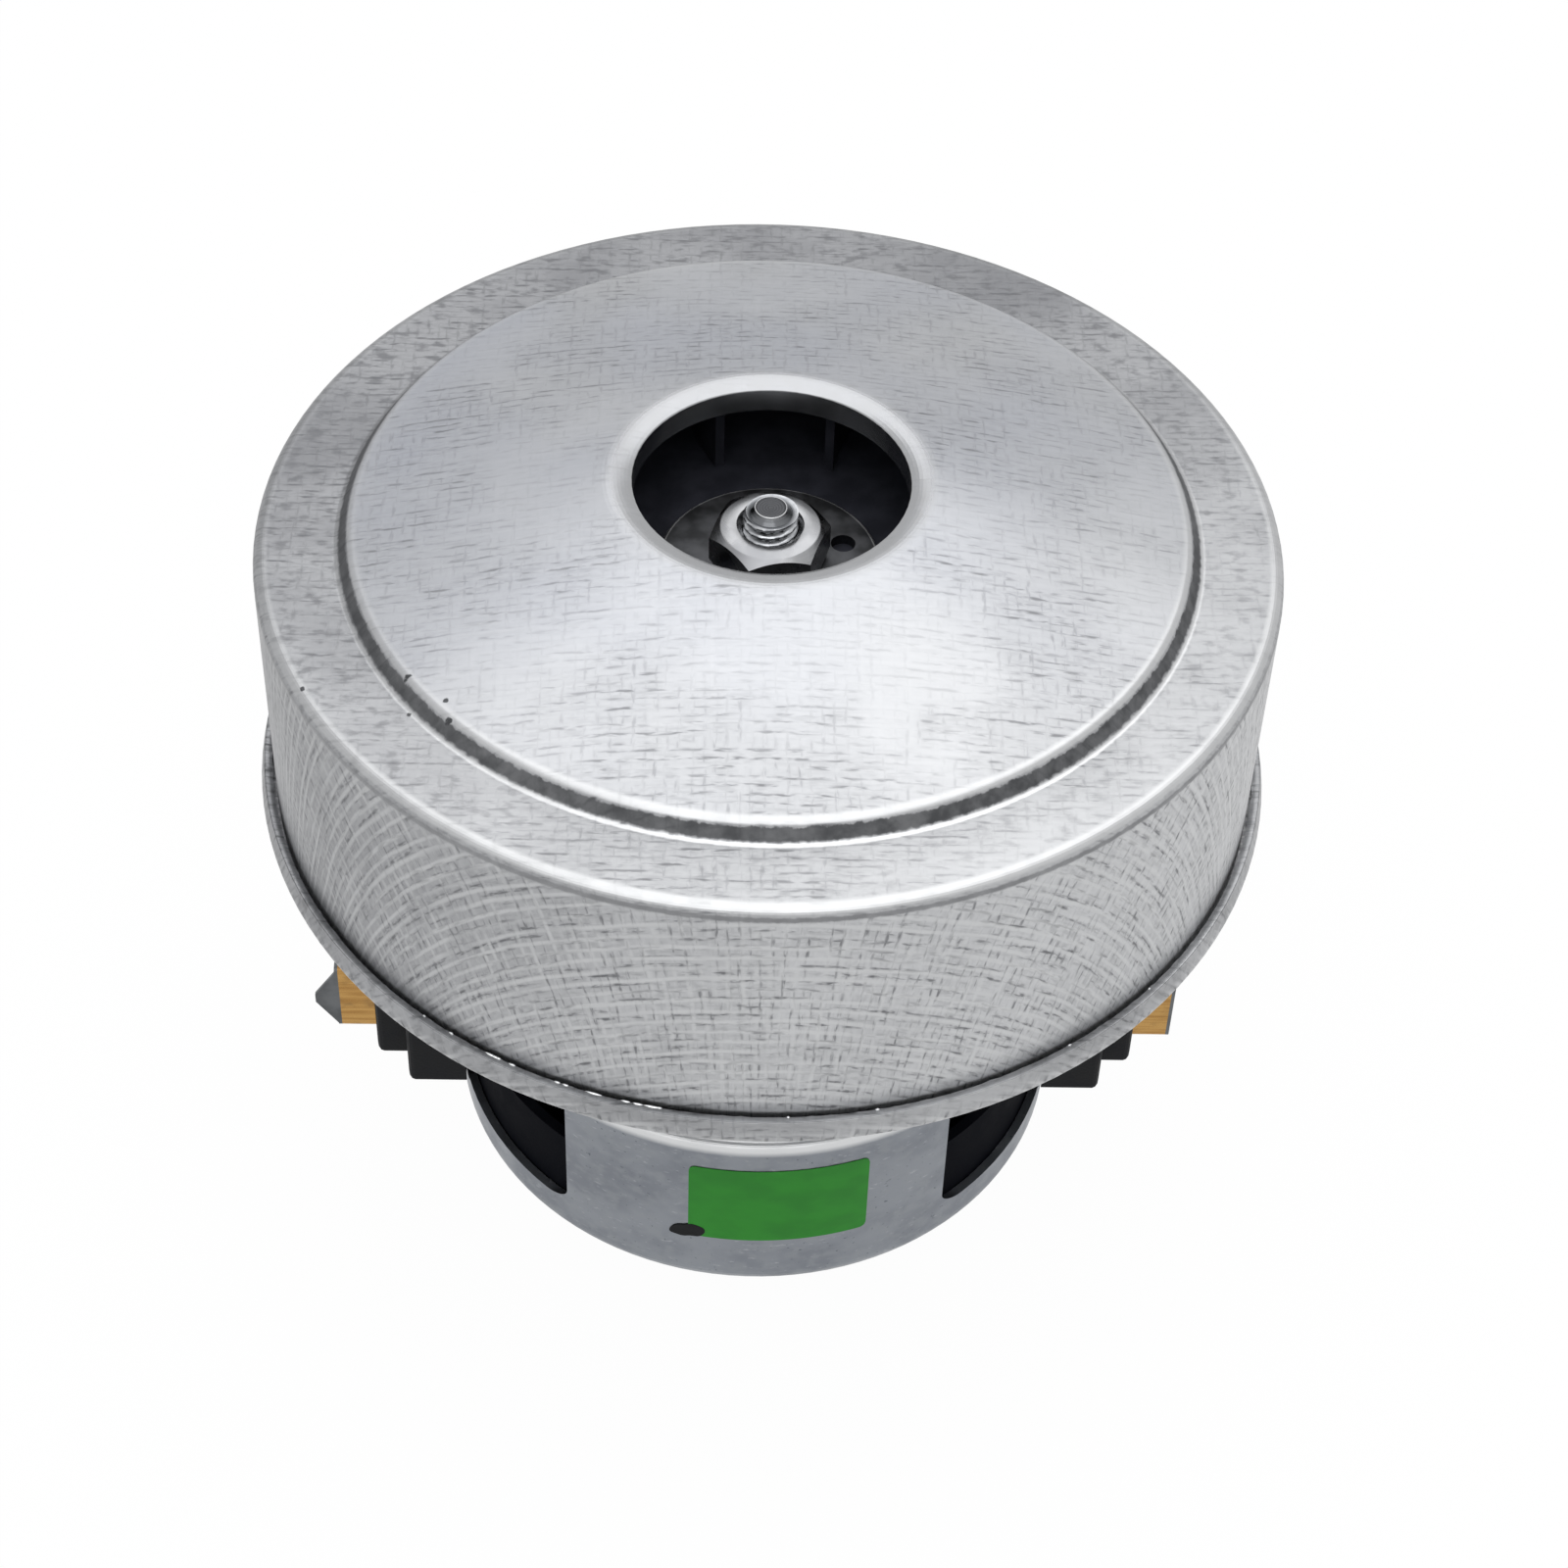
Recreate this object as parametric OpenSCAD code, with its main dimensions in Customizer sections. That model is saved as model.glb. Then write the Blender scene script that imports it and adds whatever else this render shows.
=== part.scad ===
// Vacuum motor unit: a single-stage fan over a brushed universal motor.
// Millimetres. +Z is the shaft axis towards the inlet, the brush axis is X, and the origin is the
// middle of the rear bearing boss, on the surface that the unit stands on.

/* [Fan cover] */
// Outer diameter of the fan cover
cover_d = 130; // [124:0.5:136]
// Height of the cover from its foot to the flat annulus
cover_h = 38.7; // [36:0.1:42]
// Sheet thickness of the cover
cover_t = 0.8; // [0.6:0.1:1]
// Outside radius of the cover's shoulder
cover_corner_r = 1.5; // [1.2:0.1:3]
// Width of the flat annulus between the step and the shoulder
annulus_w = 8.5; // [7:0.1:10]
// Height of the step
step_h = 2.4; // [1.8:0.1:3]
// Radius of the step's upper edge
step_edge_r = 1.4; // [1.2:0.1:1.8]
// Radius of the step's lower fillet
step_foot_r = 1; // [0.6:0.1:1.4]
// Slope of the step's wall, in degrees
step_slope = 56; // [48:1:66]
// Height of the inlet's crest over the annulus
dome_h = 9; // [8.5:0.1:10]
// Inside diameter of the inlet
inlet_d = 34.8; // [33:0.2:36]
// Radius of the crest that the dome rolls over into the inlet
crest_r = 5.8; // [4.5:0.1:7]
// How far the crest rolls over, in degrees
crest_turn = 25; // [15:1:35]
// Radius of the edge between the crest and the lip
lip_edge_r = 0.3; // [0.2:0.05:0.5]
// Depth of the inlet lip below the crest
lip_depth = 3.9; // [3.4:0.1:4.4]

/* [Fan base] */
// Sheet thickness of the dish under the fan
base_t = 1; // [0.8:0.1:1.2]
// Gap between the cover's wall and the dish's upturned rim
rim_gap = 1; // [0.7:0.1:1.5]
// Height of the upturned rim over its channel
rim_h = 2.7; // [2:0.1:3.4]
// How far the rim leans in towards the cover, in degrees
rim_lean = 13; // [5:1:15]
// Depth of the rim's channel below the dish's floor
channel_drop = 4; // [3.5:0.1:5]
// Inside bend radius of the pressed sheets
bend_r = 0.5; // [0.3:0.1:0.6]
// Number of air slots through the floor
air_slots = 6; // [4:2:8]
// Inner radius of the air slots
slot_in_r = 21; // [19:0.5:23]
// Radial width of the air slots
slot_w = 12; // [9:0.5:12.5]

/* [Motor frame] */
// Outer diameter of the frame's lower part
frame_d = 85.6; // [84:0.2:88]
// Height of the frame from its end face to its flange
frame_h = 66.7; // [64:0.5:72]
// Sheet thickness of the frame
frame_t = 1.2; // [1:0.1:1.5]
// Outside radius of the frame's bottom edge
frame_round = 3.4; // [2.4:0.1:4]
// Height of the joggle over the brush axis
joggle_rise = 14.6; // [13.5:0.1:16]
// How far the joggle sets the wall in
joggle_in = 1.35; // [1:0.05:1.6]
// Width of the flange under the dish, outside the frame's neck
flange_w = 9.55; // [9:0.05:11]
// Height of the window sill over the end face
sill_h = 7.2; // [6:0.1:8]
// Height of the side windows
window_h = 37; // [30:0.5:42]
// Width of the side windows, measured straight across
window_w = 67.8; // [62:0.2:70]
// Radius of the windows' corners
window_r = 2.5; // [1.5:0.1:4]
// Height of the rear bearing boss
boss_h = 7.8; // [7.4:0.1:9]

/* [Shaft and bearings] */
// Shaft diameter in the bearings
shaft_d = 8; // [7.8:0.1:8.2]
// Shaft diameter under the armature
shaft_core_d = 10; // [9.6:0.2:11]
// Thread diameter at the nut
thread_d = 7; // [6.6:0.1:7.4]
// Length of thread standing out of the nut
thread_out = 2.8; // [2:0.1:4]
// Outer diameter of the bearings
bearing_d = 22; // [21.6:0.1:22.6]
// Width of the bearings
bearing_w = 7; // [6.8:0.1:7.4]
// Diameter of the balls
ball_d = 3.96; // [3.9:0.02:4]
// Balls in each bearing
ball_count = 7; // [6:1:8]
// Thickness of the preload washer
preload_t = 0.5; // [0.3:0.1:0.8]

/* [Fan] */
// Radial room between the impeller and the cover's wall, for the diffuser's vanes
impeller_room = 12.2; // [11.5:0.1:14]
// Depth of the impeller's plate below the annulus
hub_drop = 6.7; // [6:0.1:7.5]
// Thickness of the impeller's plate
plate_t = 1.4; // [1.2:0.1:2]
// Blades on the impeller
blade_count = 9; // [7:1:11]
// Thickness of the blades
blade_t = 1.2; // [1:0.1:1.6]
// Radius at which the blades start
blade_in_r = 21; // [20.5:0.5:23]
// Radius of the blades' curve
blade_curve_r = 34; // [30:1:40]
// Thickness of the shroud over the blades
shroud_t = 1.2; // [1:0.1:1.6]
// Running gap between the shroud's edge and the cover
shroud_gap = 1.2; // [0.8:0.1:1.6]
// Radial running gap between the inlet lip and the shroud's eye
eye_gap = 0.6; // [0.4:0.1:1]
// How far the inlet lip reaches into the eye
eye_lap = 1; // [0.6:0.1:1.2]
// Diameter of the clamping washers
washer_d = 28.4; // [26:0.2:30]
// Thickness of the clamping washers
washer_t = 1.5; // [1:0.1:2]
// Diameter of the two balance holes in the hub washer
balance_hole_d = 3.2; // [2.6:0.1:3.6]
// Radius at which the balance holes sit
balance_hole_r = 10.1; // [9.5:0.1:11]
// Nut size across flats
nut_af = 13.6; // [12.8:0.1:14.4]
// Height of the nut
nut_h = 6.2; // [5:0.1:7]

/* [Diffuser] */
// Thickness of the diffuser's plate
diffuser_t = 2; // [1.6:0.1:2.6]
// Radial air passage between the diffuser's plate and the cover's wall
diffuser_passage = 5.7; // [5:0.1:7]
// Vanes round the impeller
diffuser_vanes = 15; // [11:1:19]
// Vanes that lead the air back under the plate
return_vanes = 10; // [8:1:14]
// Thickness of all vanes
vane_t = 1.4; // [1.2:0.1:2]
// Hole in the middle of the diffuser, over the clamping washer
diffuser_hole_gap = 1.8; // [1.2:0.1:3]

/* [Field and armature] */
// Room between the field coils' ends and the dish, which sets the height of both lamination stacks
coil_room = 0.7; // [0.5:0.1:1.5]
// Diameter of the armature
armature_d = 40; // [38:0.5:41]
// Air gap between armature and field
air_gap = 0.5; // [0.4:0.1:0.8]
// Slots in the armature
armature_slots = 22; // [16:2:24]
// Thickness of the field's yoke
yoke_t = 6.5; // [6:0.1:7]
// Width of the field's poles
pole_w = 30; // [26:0.5:32]
// Thickness of the pole shoes
shoe_t = 4.6; // [4:0.1:5]
// Width of the field coils' bundle
coil_w = 8; // [6:0.2:8.6]
// Height of the coil ends over the stack
coil_end_h = 7; // [5:0.1:7]
// Wall of the coils' moulded bobbins
bobbin_t = 0.8; // [0.6:0.1:1]
// Commutator diameter
commutator_d = 24.4; // [23:0.2:26]
// Length of the commutator
commutator_l = 17; // [16:0.2:18]

/* [Brush gear] */
// Height of the brush axis over the end face
brush_h = 15; // [14.5:0.1:16]
// Width of a brush across the shaft
brush_w = 6.6; // [6:0.1:7]
// Height of a brush along the shaft
brush_tall = 11; // [10:0.1:11.4]
// Length of a brush
brush_l = 23; // [20:0.5:25]
// Wall of the brass tubes
tube_wall = 0.6; // [0.4:0.1:0.8]
// How far the tubes' ends stand from the shaft axis
tube_reach = 59.9; // [58:0.1:62]
// Sheet thickness of the terminals
terminal_t = 0.5; // [0.4:0.1:0.8]
// Length of the terminal's pointed tab beyond the tube
tab_l = 3.5; // [2.4:0.1:4]
// Wall of the moulded sleeve round a tube
sleeve_wall = 2.8; // [2:0.1:3]
// How far the sleeve's face stands from the shaft axis
sleeve_reach = 54.7; // [53:0.1:56]
// Width of the holder's outer block
block_w = 23; // [20:0.5:25]
// Height of the holder's outer block
block_tall = 19; // [17.8:0.1:19.4]
// How far the block's face stands from the shaft axis
block_reach = 49.9; // [48:0.1:52]
// Wall of the moulded trays behind the windows
tray_t = 1.5; // [1.2:0.1:2]
// Height of the trays' walls over the end face
tray_h = 19; // [16:0.5:20]
// Wire diameter of the brush springs
spring_wire = 0.6; // [0.4:0.1:0.8]
// Turns of the brush springs
spring_turns = 12; // [8:1:14]

/* [Fasteners] */
// Shank diameter of the frame screws and stator bolts
bolt_d = 4; // [3.5:0.1:4.2]
// Head diameter of the frame screws and stator bolts
bolt_head_d = 7; // [6.4:0.1:7.2]
// Shank diameter of the small screws
screw_d = 3; // [2.6:0.1:3.2]
// Head diameter of the small screws
screw_head_d = 5.4; // [5:0.1:5.6]
// Head height of all screws
head_h = 2.2; // [1.6:0.1:2.6]

/* [Clearances] */
// Radial clearance of seats and locating fits
fit_gap = 0.05; // [0.02:0.01:0.1]
// Radial clearance of bolt and screw holes
hole_gap = 0.2; // [0.1:0.05:0.4]
// Gap between the commutator and a brush
brush_gap = 0.3; // [0.2:0.05:0.5]
// Sliding clearance of a brush in its tube
slide_gap = 0.1; // [0.05:0.01:0.15]
// Clearance of moulded insulation and windings
winding_gap = 0.2; // [0.1:0.05:0.3]

/* [Hidden] */
$fn = 96;
// More than any size of the unit, for cuts that go right through
far = 200;

// Heights, from the rear boss up
frame_end_z = boss_h;
sill_z = frame_end_z + sill_h;
brush_z = frame_end_z + brush_h;
joggle_z = brush_z + joggle_rise;
floor_z = frame_end_z + frame_h;
base_top = floor_z + base_t;
channel_z = base_top - channel_drop;
cover_foot_z = channel_z + bend_r;
annulus_z = cover_foot_z + cover_h;
rim_z = annulus_z + dome_h;
lip_z = rim_z - lip_depth;

// Fan cover
cover_r = cover_d / 2;
cover_in_r = cover_r - cover_t;
impeller_r = cover_in_r - impeller_room;
diffuser_plate_r = cover_in_r - diffuser_passage;
inlet_r = inlet_d / 2;
step_r = cover_r - cover_corner_r - annulus_w;
step_sum_r = step_edge_r + step_foot_r;
step_wall_h = step_h - step_sum_r * (1 - cos(step_slope));
step_edge = [
  step_r - step_sum_r * sin(step_slope) - step_wall_h / tan(step_slope), annulus_z + step_h - step_edge_r
];
crest_normal = 90 + crest_turn;
crest = [inlet_r + lip_edge_r - (crest_r - lip_edge_r) * cos(crest_normal), rim_z - crest_r];
lip_edge = crest + (crest_r - lip_edge_r) * [cos(crest_normal), sin(crest_normal)];
// The lip's inner face meets the crest's inner face in a sharp corner
lip_normal = acos((inlet_r + cover_t - crest[0]) / (crest_r - cover_t));
dome_run = step_edge - crest;
dome_normal = atan2(dome_run[1], dome_run[0]) + acos((crest_r - step_edge_r) / norm(dome_run));

// Fan base, with the upper bearing's pocket
seat_r = cover_in_r - fit_gap;
rim_in_r = cover_r + rim_gap;
rim_top_z = channel_z + rim_h;
rim_foot = [rim_in_r - bend_r * (1 - cos(rim_lean)), channel_z + bend_r * (1 + sin(rim_lean))];
rim_top = [rim_foot[0] - (rim_top_z - rim_foot[1]) * tan(rim_lean), rim_top_z];
base_round = 1.6;
bearing_r = bearing_d / 2;
bearing_chamfer = 0.4;
pocket_in_r = bearing_r + fit_gap;
pocket_round = base_t + bearing_chamfer - fit_gap;
pocket_lift = 0.2;
pocket_hole_r = shaft_d / 2 + 3.4;
upper_bearing_z = base_top + pocket_lift;
pocket_end_z = upper_bearing_z + bearing_w + base_t;
slot_spoke = 18;

// Motor frame
frame_r = frame_d / 2;
boss_r = pocket_in_r + frame_t;
boss_round = frame_t + bearing_chamfer - fit_gap;
boss_foot = 1;
boss_hole_r = 5.5;
joggle_edge_r = frame_t + 0.3;
joggle_foot_r = 0.8;
joggle_sum_r = joggle_edge_r + joggle_foot_r;
joggle_turn = acos(1 - joggle_in / joggle_sum_r);
joggle_top_z = joggle_z + joggle_sum_r * sin(joggle_turn);
neck_r = frame_r - joggle_in;
flange_r = neck_r + flange_w;
flange_bend = 1.5;
lower_bearing_z = frame_t + preload_t;

// Fasteners
bolt_r = bolt_d / 2;
bolt_head_r = bolt_head_d / 2;
screw_r = screw_d / 2;
screw_head_r = screw_head_d / 2;
frame_screw_r = flange_r - bolt_head_r - 0.8;
frame_screw_angles = [45, 135, 225, 315];
frame_screw_l = 6;
boss_wall = 1.6;
diffuser_screw_r = diffuser_plate_r - screw_r - boss_wall - 0.1;
diffuser_screw_angles = [30, 150, 270];
diffuser_screw_l = 9;
stator_bolt_angles = [0, 180];

// Field
stator_r = neck_r - frame_t - fit_gap;
stack_z = joggle_top_z + 0.3;
stack_top = floor_z - coil_room - coil_end_h;
stack_h = stack_top - stack_z;
stack_mid = stack_z + stack_h / 2;
armature_r = armature_d / 2;
field_bore_r = armature_r + air_gap;
shoe_r = field_bore_r + shoe_t;
yoke_in_r = stator_r - yoke_t;
shoe_half_angle = 52;
stator_bolt_r = stator_r - yoke_t / 2;
bobbin_in = [pole_w / 2 + winding_gap, stack_h / 2 + fit_gap];
coil_in = bobbin_in + [bobbin_t + winding_gap, bobbin_t + winding_gap];
coil_out = coil_in + [coil_w, coil_end_h - bobbin_t - winding_gap - fit_gap];
coil_corner_r = 4;
coil_in_r = shoe_r + winding_gap + 0.2;
coil_out_r = yoke_in_r - winding_gap;
fence_in_r = coil_out_r + winding_gap;
fence_angle = 56;
fence_h = coil_end_h - 1;
nut_wrench = 1.75 * bolt_d;
small_nut_h = 0.8 * bolt_d;

// Armature and commutator
core_slot_w = 2.2;
core_mouth_w = 1.4;
core_tip = 1;
core_slot_depth = 8.4;
core_slot_in_r = armature_r - core_slot_depth;
winding_end_h = 6.2;
winding_end_r = armature_r - core_tip - 0.5;
winding_in_r = shaft_core_d / 2 + 1.5;
commutator_r = commutator_d / 2;
commutator_z = brush_z - commutator_l / 2;
bar_wall = 2.8;
bar_gap = 0.5;
hook_r = commutator_r + 1.2;
hook_h = 1.4;

// Bearings
pitch_r = (shaft_d + bearing_d) / 4;
race_r = ball_d / 2 + fit_gap;
land_gap = 1.4;
shield_t = 0.3;
shield_in = 0.2;

// Fan wheel
hub_z = annulus_z - hub_drop;
washer_r = washer_d / 2;
lower_washer_z = hub_z - plate_t - washer_t;
nut_z = hub_z + washer_t;
nut_top = nut_z + nut_h;
tip_z = nut_top + thread_out;
tip_flat_r = 2.1;
thread_start_z = hub_z - 0.2;
shaft_foot_z = lower_bearing_z + 0.2;
eye_r = inlet_r + cover_t + eye_gap;
// Where the nut's corners came to rest
nut_turn = 10;
shroud_eye_z = lip_z + eye_lap;
shroud_rim_z = annulus_z + step_h - cover_t - shroud_gap;
blade_gap = fit_gap;
blade_out_r = impeller_r - 0.5;

// Diffuser
diffuser_top = lower_washer_z + washer_t - 0.8;
diffuser_z = diffuser_top - diffuser_t;
vane_in_r = impeller_r + 1.2;
// The vanes end clear of the cover's wall
vane_out_r = cover_in_r - 2;
vane_top = annulus_z - cover_t - 0.7;
vane_curve_r = 24;
return_in_r = washer_r + diffuser_hole_gap + 2;
return_out_r = diffuser_plate_r - 1;

// Brush gear
tube_in = [brush_w / 2 + slide_gap, brush_tall / 2 + slide_gap];
tube_out = tube_in + [tube_wall, tube_wall];
tube_start = hook_r + 1.2;
brush_start = commutator_r + brush_gap;
brush_end = brush_start + brush_l;
sleeve_start = commutator_r + 6;
sleeve_out = tube_out + [fit_gap + sleeve_wall, fit_gap + sleeve_wall - 0.3];
block_start = frame_r - frame_t;
edge_r = 0.9;
end_round = 0.9;
tray_z = frame_end_z + frame_t + fit_gap;
tray_r = frame_r - frame_t - hole_gap;
tray_in_r = boss_r + boss_foot + 1.2;
tray_half_angle = 56;
pedestal_x = [sleeve_start + 3, frame_r - frame_round - frame_t - 1];
pedestal_half_w = 8.8;
pedestal_z = tray_z + tray_t + fit_gap;
holder_screw_x = 30;
holder_screw_y = 5.8;
holder_screw_l = 6;
terminal_half_h = 5.4;
tab_tip_h = 1.6;
spring_r = min(tube_in[0], tube_in[1]) - spring_wire / 2 - slide_gap;

// Finishes as the photograph shows them
galvanised = "#B4B7B9";
frame_grey = "#9AA3AC";
black_plastic = "#1C1D1F";
bright_steel = "#C4C6C8";
dark_steel = "#4A4C4F";
copper = "#A8612F";
brass = "#B98A45";
carbon = "#2B2B2C";
lamination = "#5E6063";
phenolic = "#5A3B22";

// Points on an arc, by the angle from the first axis
function arc(centre, r, a0, a1, steps = 8) =
  [for (i = [0:steps]) centre + r * [cos(a0 + (a1 - a0) * i / steps), sin(a0 + (a1 - a0) * i / steps)]];

// One bend of a pressed sheet: [middle, signed radius of the outer face, first and last normal angle].
// A radius above 0 bulges outward, one below 0 is a hollow, and 0 is a plain end of the sheet.
function bend_face(bend, depth) =
  bend[2] == bend[3]
    ? [bend[0] + (bend[1] - depth) * [cos(bend[2]), sin(bend[2])]]
    : arc(bend[0], bend[1] - depth, bend[2], bend[3]);
function backwards(points) = [for (i = [len(points) - 1:-1:0]) points[i]];
function sheet_face(bends, depth) = [for (bend = bends) each bend_face(bend, depth)];
// The section of a sheet of even thickness through a row of bends
function sheet_section(bends, t) = concat(sheet_face(bends, 0), backwards(sheet_face(bends, t)));

module ring(r_out, r_in, z0, z1) {
  translate([0, 0, z0])
    rotate_extrude()
      translate([r_in, 0])
        square([r_out - r_in, z1 - z0]);
}

// A sector of a ring, centred on an angle
module ring_sector(r_out, r_in, z0, z1, middle, half_angle) {
  translate([0, 0, z0])
    rotate([0, 0, middle - half_angle])
      rotate_extrude(angle = 2 * half_angle)
        translate([r_in, 0])
          square([r_out - r_in, z1 - z0]);
}

// A rectangle by its half sizes, with rounded corners
module rounded_rectangle(half, r) {
  square([2 * half[0], 2 * (half[1] - r)], center = true);
  square([2 * (half[0] - r), 2 * half[1]], center = true);
  for (x = [-1, 1], y = [-1, 1])
    translate([x * (half[0] - r), y * (half[1] - r)])
      circle(r);
}

// A bar along +X with a rounded rectangular section, centred on the brush axis
module bar_x(x0, x1, half, r) {
  translate([x0, 0, brush_z])
    rotate([90, 0, 90])
      linear_extrude(x1 - x0)
        rounded_rectangle(half, r);
}

// A moulded bar whose far end is rounded over
module moulded_bar_x(x0, x1, half, r, end_r) {
  hull()
    for (a = [0:30:90]) {
      inset = end_r * (1 - cos(a));
      bar_x(x0, x1 - end_r * (1 - sin(a)), half - [inset, inset], r);
    }
}

// Copies at given angles round the shaft
module at_angles(angles, r, z) {
  for (a = angles)
    rotate([0, 0, a])
      translate([r, 0, z])
        children();
}

// A screw pointing up, with the underside of its head at z = 0
module screw_up(r, length, head_r) {
  cylinder(r = r, h = length);
  translate([0, 0, -head_h])
    rotate_extrude()
      polygon([[0, 0], [0.7 * head_r, 0], [head_r, 0.6 * head_h], [head_r, head_h], [0, head_h]]);
}

module hex_nut(af, height, bore_r) {
  corner_r = af / sqrt(3);
  chamfer = 0.09 * af;
  difference() {
    intersection() {
      cylinder(r = corner_r, h = height, $fn = 6);
      rotate_extrude()
        polygon([
          [0, 0], [af / 2 - 0.1, 0], [corner_r + 0.1, chamfer],
          [corner_r + 0.1, height - chamfer], [af / 2 - 0.1, height], [0, height]
        ]);
    }
    translate([0, 0, -1])
      cylinder(r = bore_r, h = height + 2);
  }
}

// A thin curved blade between two radii: one side of a hollow cylinder whose arc leans back
module curved_blade(r_in, r_out, curve_r, t, height) {
  middle = (r_in + r_out) / 2;
  linear_extrude(height)
    intersection() {
      difference() {
        circle(r_out);
        circle(r_in);
      }
      translate([0.55 * middle, -curve_r - 0.12 * middle])
        difference() {
          circle(curve_r + t / 2);
          circle(curve_r - t / 2);
        }
      translate([0, -r_out])
        square([r_out, 2 * r_out]);
    }
}

module fan_cover() {
  lip = [[inlet_r, lip_z], 0, 180, 180];
  edge = [lip_edge, lip_edge_r, 180, crest_normal];
  drawn = [
    [step_edge, step_edge_r, dome_normal, 90 - step_slope],
    [[step_r, annulus_z + step_foot_r], -step_foot_r, 90 - step_slope, 90],
    [[cover_r - cover_corner_r, annulus_z - cover_corner_r], cover_corner_r, 90, 0],
    [[cover_r, cover_foot_z], 0, 0, 0]
  ];
  outside = concat([lip, edge, [crest, crest_r, crest_normal, dome_normal]], drawn);
  inside = concat([lip, [crest, crest_r, lip_normal, dome_normal]], drawn);
  color(galvanised)
    rotate_extrude()
      polygon(concat(sheet_face(outside, 0), backwards(sheet_face(inside, cover_t))));
}

module fan_base() {
  pocket_out_r = pocket_in_r + base_t;
  bends = [
    [rim_top, 0, 180 + rim_lean, 180 + rim_lean],
    [[rim_in_r - bend_r, channel_z + bend_r], -bend_r, 180 + rim_lean, 90],
    [[seat_r + bend_r, channel_z + bend_r], -bend_r, 90, 0],
    [[seat_r - base_round, base_top - base_round], base_round, 0, 90],
    [[pocket_out_r + bend_r, base_top + bend_r], -bend_r, 90, 0],
    [[pocket_out_r - pocket_round, pocket_end_z - pocket_round], pocket_round, 0, 90],
    [[pocket_hole_r, pocket_end_z], 0, 90, 90]
  ];
  slot_pitch = 360 / air_slots;
  color(galvanised)
    difference() {
      rotate_extrude()
        polygon(sheet_section(bends, base_t));
      for (i = [0:air_slots - 1])
        ring_sector(slot_in_r + slot_w, slot_in_r, floor_z - 1, base_top + 1,
          (i + 0.5) * slot_pitch, (slot_pitch - slot_spoke) / 2);
      at_angles(frame_screw_angles, frame_screw_r, 0)
        cylinder(r = bolt_r + fit_gap, h = far);
      at_angles(diffuser_screw_angles, diffuser_screw_r, 0)
        cylinder(r = screw_r + hole_gap, h = far);
      at_angles(stator_bolt_angles, stator_bolt_r, 0)
        cylinder(r = bolt_r + hole_gap, h = far);
    }
}

module diffuser() {
  return_h = diffuser_z - base_top;
  color(black_plastic)
    difference() {
      union() {
        ring(diffuser_plate_r, washer_r + diffuser_hole_gap, diffuser_z, diffuser_top);
        for (i = [0:diffuser_vanes - 1])
          rotate([0, 0, i * 360 / diffuser_vanes])
            translate([0, 0, diffuser_z + 0.6 * diffuser_t])
              curved_blade(vane_in_r, vane_out_r, vane_curve_r, vane_t, vane_top - diffuser_z - 0.6 * diffuser_t);
        for (i = [0:return_vanes - 1])
          rotate([0, 0, i * 360 / return_vanes])
            translate([0, 0, base_top])
              curved_blade(return_in_r, return_out_r, blade_curve_r, vane_t, return_h + 0.4 * diffuser_t);
        at_angles(diffuser_screw_angles, diffuser_screw_r, base_top)
          cylinder(r = screw_r + boss_wall, h = return_h + 0.4 * diffuser_t);
      }
      at_angles(diffuser_screw_angles, diffuser_screw_r, base_top - 1)
        cylinder(r = screw_r + fit_gap, h = diffuser_screw_l + 1.5);
      at_angles(frame_screw_angles, frame_screw_r, base_top - 1)
        cylinder(r = bolt_r + 1, h = frame_screw_l + 1);
      at_angles(stator_bolt_angles, stator_bolt_r, base_top - 1)
        cylinder(r = nut_wrench / sqrt(3) + 0.5, h = small_nut_h + 4);
    }
}

module diffuser_screws() {
  color(bright_steel)
    at_angles(diffuser_screw_angles, diffuser_screw_r, floor_z)
      screw_up(screw_r, diffuser_screw_l, screw_head_r);
}

module motor_frame() {
  bends = [
    [[boss_hole_r, 0], 0, 270, 270],
    [[boss_r - boss_round, boss_round], boss_round, 270, 360],
    [[boss_r + boss_foot, frame_end_z - boss_foot], -boss_foot, 360, 270],
    [[frame_r - frame_round, frame_end_z + frame_round], frame_round, 270, 360],
    [[frame_r - joggle_edge_r, joggle_z], joggle_edge_r, 360, 360 + joggle_turn],
    [[neck_r + joggle_foot_r, joggle_top_z], -joggle_foot_r, 360 + joggle_turn, 360],
    [[neck_r + flange_bend, floor_z - frame_t - flange_bend], -flange_bend, 360, 270],
    [[flange_r, floor_z - frame_t], 0, 270, 270]
  ];
  color(frame_grey)
    difference() {
      rotate_extrude()
        polygon(sheet_section(bends, frame_t));
      // One punch from each side opens both windows
      translate([-far / 2, 0, sill_z + window_h / 2])
        rotate([90, 0, 90])
          linear_extrude(far)
            rounded_rectangle([window_w / 2, window_h / 2], window_r);
      at_angles(frame_screw_angles, frame_screw_r, floor_z - far / 2)
        cylinder(r = bolt_r + hole_gap, h = far);
      // A wide flange is notched round the heads of the diffuser's screws
      at_angles(diffuser_screw_angles, diffuser_screw_r, floor_z - frame_t - head_h)
        cylinder(r = screw_head_r + 0.6, h = frame_t + head_h + 1);
      for (x = [-1, 1], y = [-1, 1])
        translate([x * holder_screw_x, y * holder_screw_y, 0])
          cylinder(r = screw_r + hole_gap, h = sill_z);
    }
}

module frame_screws() {
  color(bright_steel)
    at_angles(frame_screw_angles, frame_screw_r, floor_z - frame_t)
      screw_up(bolt_r, frame_screw_l, bolt_head_r);
}

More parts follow.
